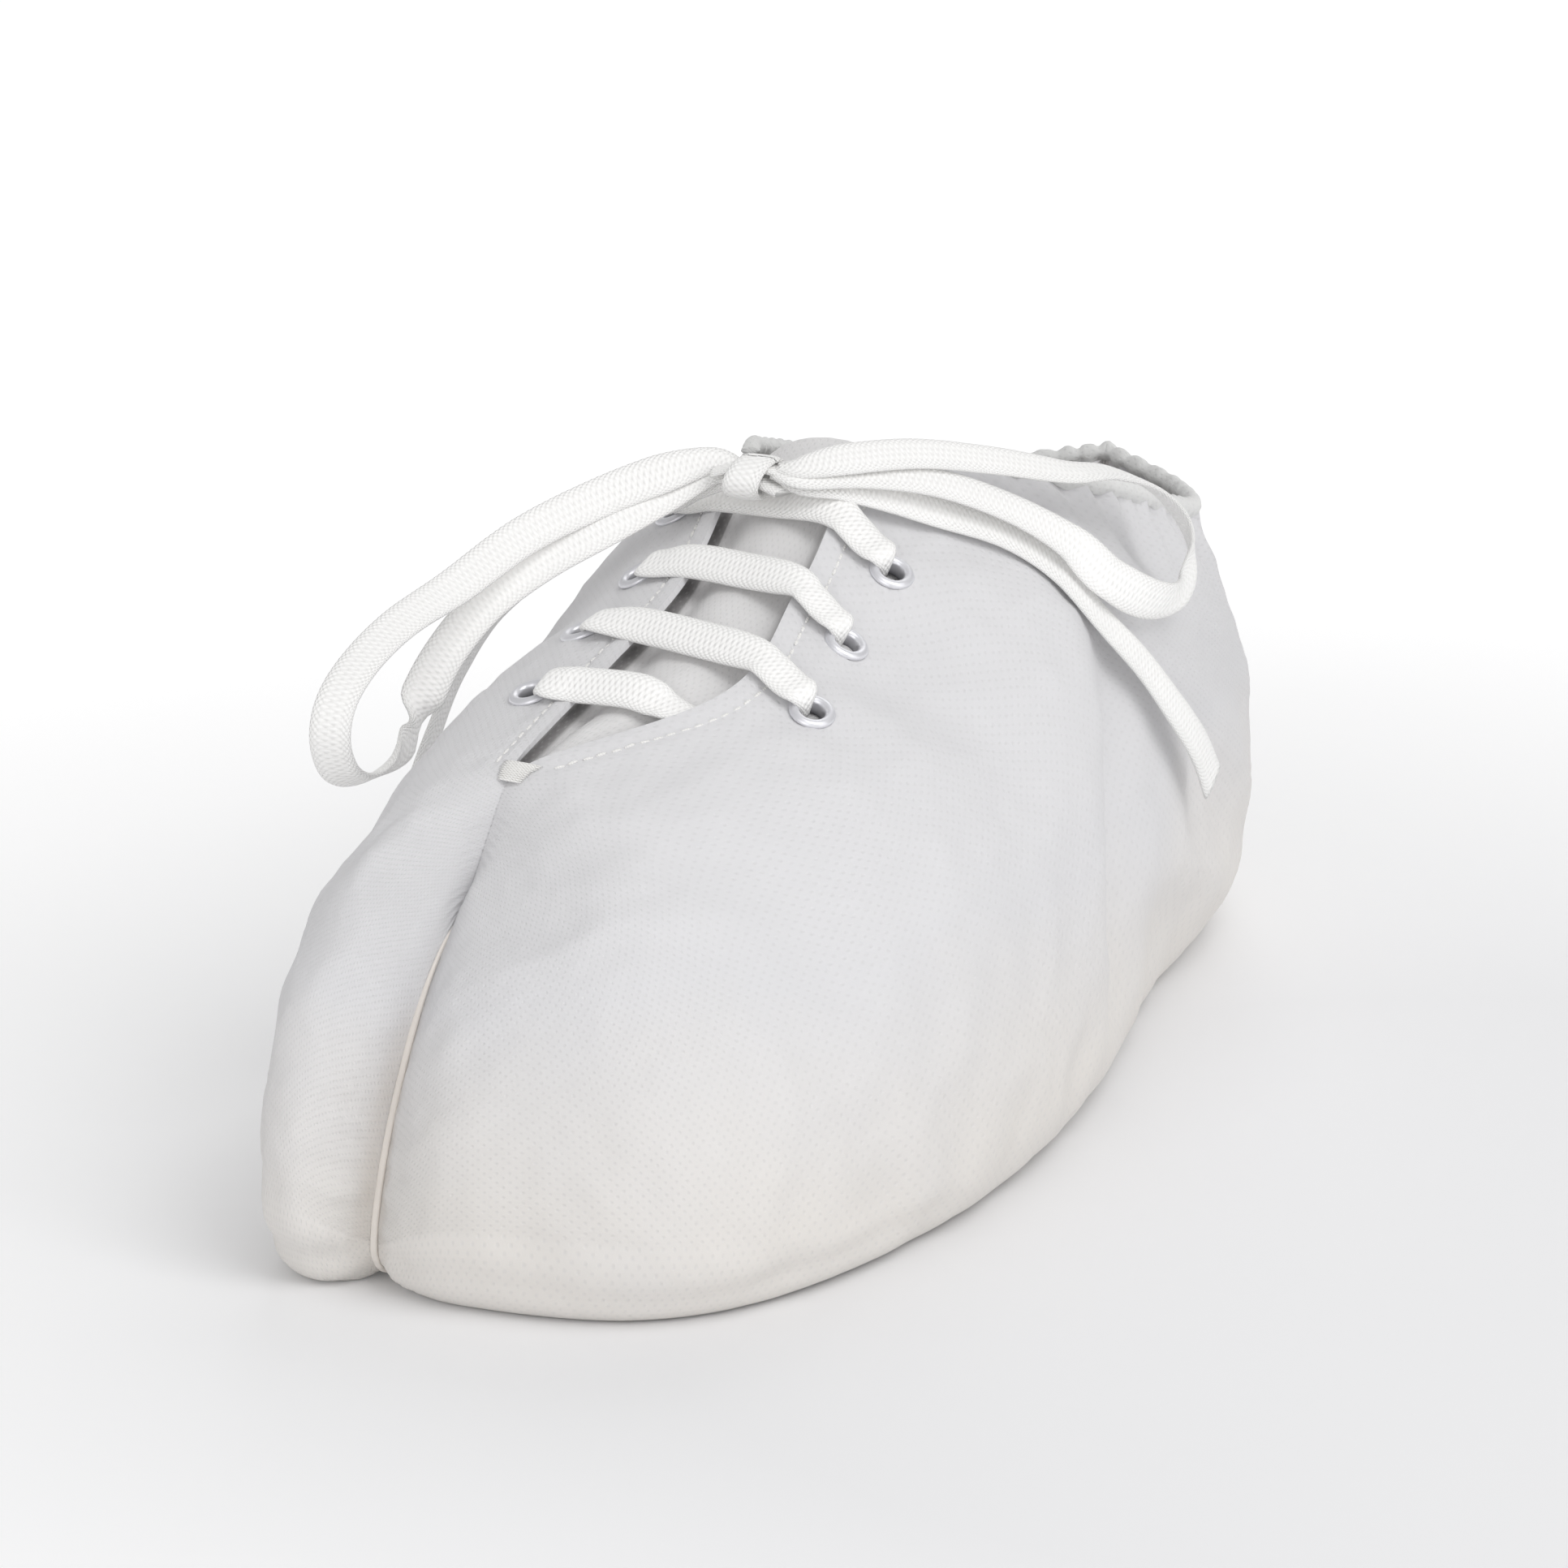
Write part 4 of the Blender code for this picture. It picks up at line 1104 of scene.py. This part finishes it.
def clear_of_cloth(path, gap):
    """Lifts a route off the cloth wherever it comes closer than gap."""
    for _ in range(5):
        lift = np.zeros(len(path))
        push = np.zeros_like(path)
        for k, point in enumerate(path):
            nearest = np.linalg.norm(CLOTH_POINTS - point, axis=1).argmin()
            push[k] = CLOTH_NORMALS[nearest]
            lift[k] = max(0.0, gap - (point - CLOTH_POINTS[nearest]) @ push[k])
        push = np.stack([blurred(push[:, k]) for k in range(3)], axis=1)
        path = path + unit(push) * (1.6 * blurred(lift))[:, None]
    return path


def away_from_foot(path):
    axis = np.column_stack([np.full(len(path), 2.0), path[:, 1], np.full(len(path), 45.0)])
    out = path - axis
    tangent = unit(np.gradient(path, axis=0))
    return unit(out - tangent * (out * tangent).sum(axis=1)[:, None])


def turned_forward(path):
    """Near the knot the lace is turned to the front; further on it faces away from the foot."""
    forward = unit(np.array([0.15, -0.62, 0.78]))
    run = np.arange(len(path)) / len(path)
    from_knot = ramp(1.3 - run * 2.2)[:, None]
    return unit(forward * from_knot + away_from_foot(path) * (1 - from_knot))


def round_loop(path):
    """Where a loop's flat side faces: to the front or up, and outward round the tip."""
    middle = len(path) // 2
    out = unit(np.array([0.25, -0.72, 0.62] if path[middle, 0] < 0 else [0.35, -0.30, 0.88]))
    centre = path[middle - 12:middle + 13].mean(axis=0)
    tip = 0.75 * hill(np.arange(len(path)) - middle, 0.15 * len(path))[:, None]
    return unit(out * (1 - tip) + (path - centre) / 10.0 * tip)


print("a lace is", LACE_WIDTH, "by", LACE_THICK, "mm")

# %% The routes of the bow's loops and ends
LOOP_LEFT = (
    (-13.6, 141.8, 112.9), (-21, 137.5, 111), (-31, 130, 106.8), (-40, 118, 101.6), (-46.5, 104, 95),
    (-50.1, 90.4, 91.4), (-52.2, 80, 87), (-53, 72.2, 81.8), (-53.3, 69.8, 75.3), (-53.2, 72.6, 68.8),
    (-52.8, 78.8, 65.3), (-52.3, 87, 65.1), (-51.8, 96.2, 68.6), (-51, 100, 75.5), (-48.5, 104.5, 83),
    (-44, 111, 90.5), (-37, 119, 97), (-28, 128.5, 102.8), (-20, 137, 108), (-13.6, 140.8, 110.8),
)
LOOP_RIGHT = (
    (3.0, 142.6, 112.9), (10, 148.5, 114.3), (18, 159.5, 113.6), (27, 172, 110.4), (35.5, 184.5, 106.4),
    (40.4, 194.2, 104.4), (45.6, 202.3, 99.8), (49.8, 205.9, 93.3), (52.1, 204.3, 86.6), (52.3, 198, 81.9),
    (50.5, 189.7, 82.8), (46.3, 180.1, 88.9), (40.4, 175, 96.4), (31.8, 167.2, 103.6), (21.4, 157.4, 109.4),
    (11, 148, 111.8), (3.0, 141.2, 110.9),
)
END_LEFT = (
    (-13.6, 142.4, 108.7), (-21, 143.5, 105.9), (-31, 141, 101.2), (-41, 136, 93.5), (-48.5, 128, 85),
    (-53.5, 119, 75), (-55.5, 111, 63.5), (-56.5, 104, 52), (-56.5, 97, 41),
)
END_RIGHT = (
    (2.4, 142.4, 108.9), (9, 147, 109.2), (16, 152.5, 107), (23, 158.5, 103), (31, 166.5, 97.4),
    (38.5, 173.5, 89.8), (45, 179, 81), (50.5, 185, 72.5), (54.5, 191, 63), (56.5, 198, 54), (56.5, 205, 45),
)
KNOT = np.array([-6.0, 141.5, 110.8])
BOW = (
    ("loop_left", LOOP_LEFT, round_loop, "object"),
    ("loop_right", LOOP_RIGHT, round_loop, "object"),
    ("lace_end_left", END_LEFT, turned_forward, "bare"),
    ("lace_end_right", END_RIGHT, turned_forward, "bare"),
)
for node, points, facing, far_end in BOW:
    first, last = np.array(points[0]), np.array(points[-1])
    points = [first + (KNOT - first) * 0.55, *points]
    if far_end == "object":
        points.append(last + (KNOT - last) * 0.55)
    path = clear_of_cloth(route(points, 1.2), 1.5)
    from_knot = np.linalg.norm(path - KNOT, axis=1)
    width = LACE_WIDTH - 3.6 * ramp(1.6 - from_knot / 11.0) ** 1.5
    mesh = lace_mesh("braid_" + node, path, facing(path), width, LACE_THICK)
    piece = add_piece("braid_" + node, mesh, lace_braid)
    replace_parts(piece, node)
    metres = place(path)
    round(length_of(metres), 3)
    print(node, round(length_of(path)), "mm")

# %% [markdown]
# ## Cross laces
# Each cross lace leaves its left eyelet, lies flat over both facings and dives into its right eyelet. It
# narrows where it is drawn into a hole. The lowest one slips under the right facing.

# %% The cross laces
EYELET_TOP = 1.0
DRAWN_WIDTH, DRAWN_THICK = 2.6, 1.0    # the lace where it is drawn into a hole
BAR_TILT = 0.70    # it faces forward by this much, as the slope of the instep does


def square_to(direction, axis):
    """A direction without its part along the axis, made 1 long."""
    flat = direction - axis * (direction @ axis)
    return flat / np.linalg.norm(flat)


def throat_edge(side, along):
    points = skin(side, np.linspace(THROAT_START, THROAT_END + 0.02, 200), TOP, 0.0)[0]
    return between(along, points[:, 1], points)


def out_of_eyelet(eyelet, normal, toward, lie):
    """Four points from inside an eyelet, up through its hole and over its flange."""
    return [eyelet + toward * 1.6 - normal * 2.0, eyelet + toward * 1.8 + normal * 0.3,
            eyelet + toward * 3.1 + normal * (EYELET_TOP + lie + 0.3),
            eyelet + toward * 6.6 + normal * (lie + 0.9)]


def cross_lace(number, row):
    left, left_normal = EYELETS["left", number]
    right, right_normal = EYELETS.get(("right", number), on_skin(1, row["right_x"], row["right_along"]))
    slope = (row["right_along"] - row["left_along"]) / (row["right_x"] - row["left_x"])
    edge_left = throat_edge(-1, row["left_along"] + slope * (-11.0 - row["left_x"]))
    edge_right = throat_edge(1, row["left_along"] + slope * (12.0 - row["left_x"]))
    lie = 0.2 + LACE_THICK / 2
    last_normal = UP - np.array([0.0, 0.2, 0.0]) if row["goes_under"] else right_normal
    lean_left = square_to(edge_left - left, left_normal)
    lean_right = square_to(edge_right - right, last_normal)
    points = out_of_eyelet(left, left_normal, lean_left, lie)
    points += [edge_left + UP * (lie + 0.7), (edge_left + edge_right) / 2 + UP * (lie + 1.0)]
    if row["goes_under"]:
        points += [edge_right + np.array([-4.0, 0, 0]) - UP * 0.3,
                   edge_right + np.array([4.0, 0, 0]) - UP * 2.4]
    else:
        points += [edge_right + UP * (lie + 0.7), *out_of_eyelet(right, right_normal, lean_right, lie)[::-1]]
    path = route(points, 0.8)
    share = np.linspace(0, 1, len(path))[:, None]
    middle = ramp(1.5 - 4.6 * abs(share - 0.43))
    faces = (left_normal * ramp(1 - 2.4 * share) + last_normal * ramp(2.4 * share - 1.4)) * (1 - middle)
    faces = faces + (UP - np.array([0.0, BAR_TILT, 0.0])) * middle
    run = run_along(path)
    from_left = ramp((run - 1.0) / 5.0)
    from_right = np.ones_like(run) if row["goes_under"] else ramp((run[-1] - run - 1.0) / 5.0)
    drawn = np.minimum(from_left, from_right)
    drawn = drawn * drawn * (3 - 2 * drawn)
    dive_left = ramp(1 - run / 3.5)[:, None]
    dive_right = np.zeros_like(dive_left) if row["goes_under"] else ramp(1 - (run[-1] - run) / 3.5)[:, None]
    faces = faces * (1 - dive_left - dive_right) - lean_left * dive_left - lean_right * dive_right
    width = DRAWN_WIDTH + (LACE_WIDTH - DRAWN_WIDTH) * drawn
    if row["goes_under"]:
        width = width - 2.4 * ramp((run - run[-1] + 9) / 5)
    thick = DRAWN_THICK + (LACE_THICK - DRAWN_THICK) * drawn
    return lace_mesh(f"cross_lace_{number}", path, unit(faces), width, thick)


for number, row in enumerate(LACE_ROWS, start=1):
    mesh = cross_lace(number, row)
    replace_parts(add_piece(mesh.name, mesh, lace_braid), f"lace_bar_{number}")
print("cross laces laid")

# %% [markdown]
# ## The knot
# A bow is held by one turn of lace around the crossed ends. Two short flat bands cross under it, and the
# turn is a closed ring of the same braid, pulled tight so that it is a little narrower than the lace.

# %% The knot of the bow
TURN_WIDTH, BAND_WIDTH, KNOT_THICK = 7.0, 6.4, 1.5
TURN_ALONG, TURN_HIGH = 5.2, 3.3    # the turn's half length and half height
ring = np.linspace(0, math.tau, 61)
turn_path = KNOT + np.column_stack([0.9 * np.sin(ring), TURN_ALONG * np.cos(ring), TURN_HIGH * np.sin(ring)])
turn_faces = unit(np.column_stack([np.zeros_like(ring), np.cos(ring) / TURN_ALONG, np.sin(ring) / TURN_HIGH]))
crossing = np.linspace(-1, 1, 25)
band_one = KNOT + np.column_stack([7.2 * crossing, 1.6 * crossing, 1.3 + 1.0 * np.cos(crossing * 2.4)])
band_two = KNOT + np.column_stack([7.2 * crossing, -1.6 * crossing, -0.9 + 0.8 * np.cos(crossing * 2.4)])
knot_bm = bmesh.new()
knot_bm.loops.layers.uv.new("cut")
for path, faces, width in (
    (turn_path, turn_faces, TURN_WIDTH), (band_one, UP, BAND_WIDTH), (band_two, UP, BAND_WIDTH),
):
    part = lace_mesh("knot_part", path, faces, width, KNOT_THICK)
    knot_bm.from_mesh(part)
    bpy.data.meshes.remove(part)
knot_mesh = mesh_from(knot_bm, "bow_turns")
knot_mesh.shade_smooth()
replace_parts(add_piece("bow_turns", knot_mesh, lace_braid), "bow_knot")
print("knot:", len(knot_mesh.polygons), "faces")

# %% [markdown]
# ## The seam's tape
# A narrow tape lies at the bottom of the groove, from the toe, under the sole and up the heel.

# %% The tape
TAPE_INSET = 6     # points of the seam's line that are left out at both ends
RISE_POINTS = 8    # points of the tape's thin end, which rises into the top of the seam
TAPE_WIDTH = ((0.0, 0.04, 0.20, 0.28, 0.78, 0.86, 1.0), (0.5, 1.2, 1.3, 2.6, 2.6, 1.8, 1.6))
deep, _ = groove(np.linspace(0, 1, len(SEAM_LINE)))
index = np.arange(len(SEAM_LINE))
fade = ramp(np.minimum(index, index[::-1]) / 9)
sunk_in = (0.5 - deep) * fade - 0.15 * (1 - fade)
tape_line = (SEAM_LINE + SEAM_OUT * sunk_in[:, None])[TAPE_INSET:-TAPE_INSET]
tape_width = np.interp(np.linspace(0, 1, len(tape_line)), *TAPE_WIDTH)
up_seam = skin(1, np.linspace(0.055, 0.004, RISE_POINTS), TOP, 0.0)[0] - (0.0, 0, 0.25)
tape_line = np.concatenate([up_seam, tape_line])
tape_width = np.concatenate([np.linspace(0.3, 0.9, RISE_POINTS), tape_width])
tape_up = np.concatenate([np.tile(SEAM_OUT[TAPE_INSET], (RISE_POINTS, 1)), SEAM_OUT[TAPE_INSET:-TAPE_INSET]])
tape_mesh = lace_mesh("seam_tape_strip", tape_line, tape_up, tape_width, 0.8)
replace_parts(add_piece("seam_tape_strip", tape_mesh, seam_tape), "centre_seam")
print("tape:", round(length_of(tape_line)), "mm")

# %% [markdown]
# ## The elastic edge
# A cord of elastic inside the folded hem draws the opening together. The hem is a soft roll that stands
# in many small ruffles, deep where the cloth folds in and full between.

# %% The gathered hem
RIM_ROLL = 1.6
RIM_STEP = 0.55


def hem_path():
    where = np.linspace(THROAT_END + 0.025, 1, 160)
    halves = []
    for side in (-1, 1):
        points = skin(side, where, TOP, 0.0)[0]
        below = skin(side, where, 2.94, 0.0)[0]
        points = points + unit(points - below) * 1.2
        halves.append(points if side < 0 else points[::-1][1:])
    return evenly(np.concatenate(halves), RIM_STEP)


path = hem_path()
run = np.arange(len(path)) * RIM_STEP
tangent = unit(np.gradient(path, axis=0))
beside = unit(np.cross(tangent, UP))
up = np.cross(beside, tangent)
angle = np.linspace(0, math.tau, 25)
wave = gathers(run, 5.2, 2.0)
fine = gathers(run, 2.4, 5.0)
pinch = 1.0 - 0.16 * ramp(-wave) ** 2
sway = 0.30 * wave[:, None] * np.sin(angle)[None] + 0.10 * fine[:, None]
kink = 0.22 * np.cos(3 * angle + 0.8 * wave[:, None]) * 0.4
wide = RIM_ROLL * (pinch[:, None] * np.cos(angle)[None] + kink)
pinch = pinch * np.clip(np.minimum(run, run[-1] - run) / 9, 0.1, 1) ** 0.5
tall = RIM_ROLL * 1.15 * pinch[:, None] * np.sin(angle)[None] + sway
table = path[:, None, :] + beside[:, None, :] * wide[:, :, None] + up[:, None, :] * tall[:, :, None]
hem_mesh = grid_mesh("gathered_edge", table, (1.5, run[-1] / 10))
close_tube(hem_mesh)
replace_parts(add_piece("gathered_edge", hem_mesh, hem_cloth), "elastic_edge")
print("hem:", round(run[-1]), "mm,", len(hem_mesh.polygons), "faces")


# %% [markdown]
# ## Stitches
# The facings are turned in and held by a row of stitches beside their edge. Each stitch is a short fat
# grain of thread, so one low sphere is stretched and set down again and again.

# %% Rows of stitches
def stitch_row(bm, path, normals, pitch, size):
    """size is half a stitch's length, width and height."""
    count = int(length_of(path) / pitch)
    at = np.linspace(0, len(path) - 1, count + 2)[1:-1]
    tangent = unit(np.gradient(path, axis=0))
    for spot in at:
        k = int(spot)
        ahead, normal = Vector(tangent[k]), Vector(normals[k])
        side = normal.cross(ahead).normalized()
        turn = Matrix((ahead, side, normal)).transposed().to_4x4()
        scale = Matrix.Diagonal((*(value * MM for value in size), 1.0))
        matrix = Matrix.Translation(Vector(place(path[k])[0])) @ turn @ scale
        bmesh.ops.create_uvsphere(bm, u_segments=8, v_segments=6, radius=1.0, matrix=matrix)
    return count


bm = bmesh.new()
made = 0
for side in (-1, 1):
    where = np.linspace(THROAT_START + 0.01, THROAT_END + 0.015, 400)
    edge, inner = bare_skin(side, where, TOP), bare_skin(side, where, 2.9)
    share = HEM_STEP / np.linalg.norm(edge - inner, axis=1) * 0.1
    line = skin(side, where, TOP - share)[0]
    normals = outward_normals(side, where, TOP - share)
    even = evenly(line + normals * 0.12, 0.4)
    even_normals = between(np.linspace(0, 1, len(even)), np.linspace(0, 1, len(where)), normals)
    made += stitch_row(bm, even, unit(even_normals), 2.6, (1.05, 0.32, 0.28))
tack = np.linspace(THROAT_START - 0.012, THROAT_START + 0.008, 9)
ends = {side: skin(side, tack, 2.97)[0] for side in (-1, 1)}
for before, after in zip(ends[-1], ends[1]):
    for start, end in ((before, after), (after + (0, 0.45, 0.1), before + (0, 0.45, 0.1))):
        across_seam = np.linspace(start, end, 5) + UP * 0.5
        made += stitch_row(bm, across_seam, np.tile([0, -0.3, 0.95], (5, 1)), length_of(across_seam) / 1.5,
                           (0.55 * length_of(across_seam), 0.22, 0.24))
stitch_mesh = mesh_from(bm, "facing_stitches")
stitch_mesh.shade_smooth()
add_piece("facing_stitches", stitch_mesh, white_thread)
print(made, "stitches")
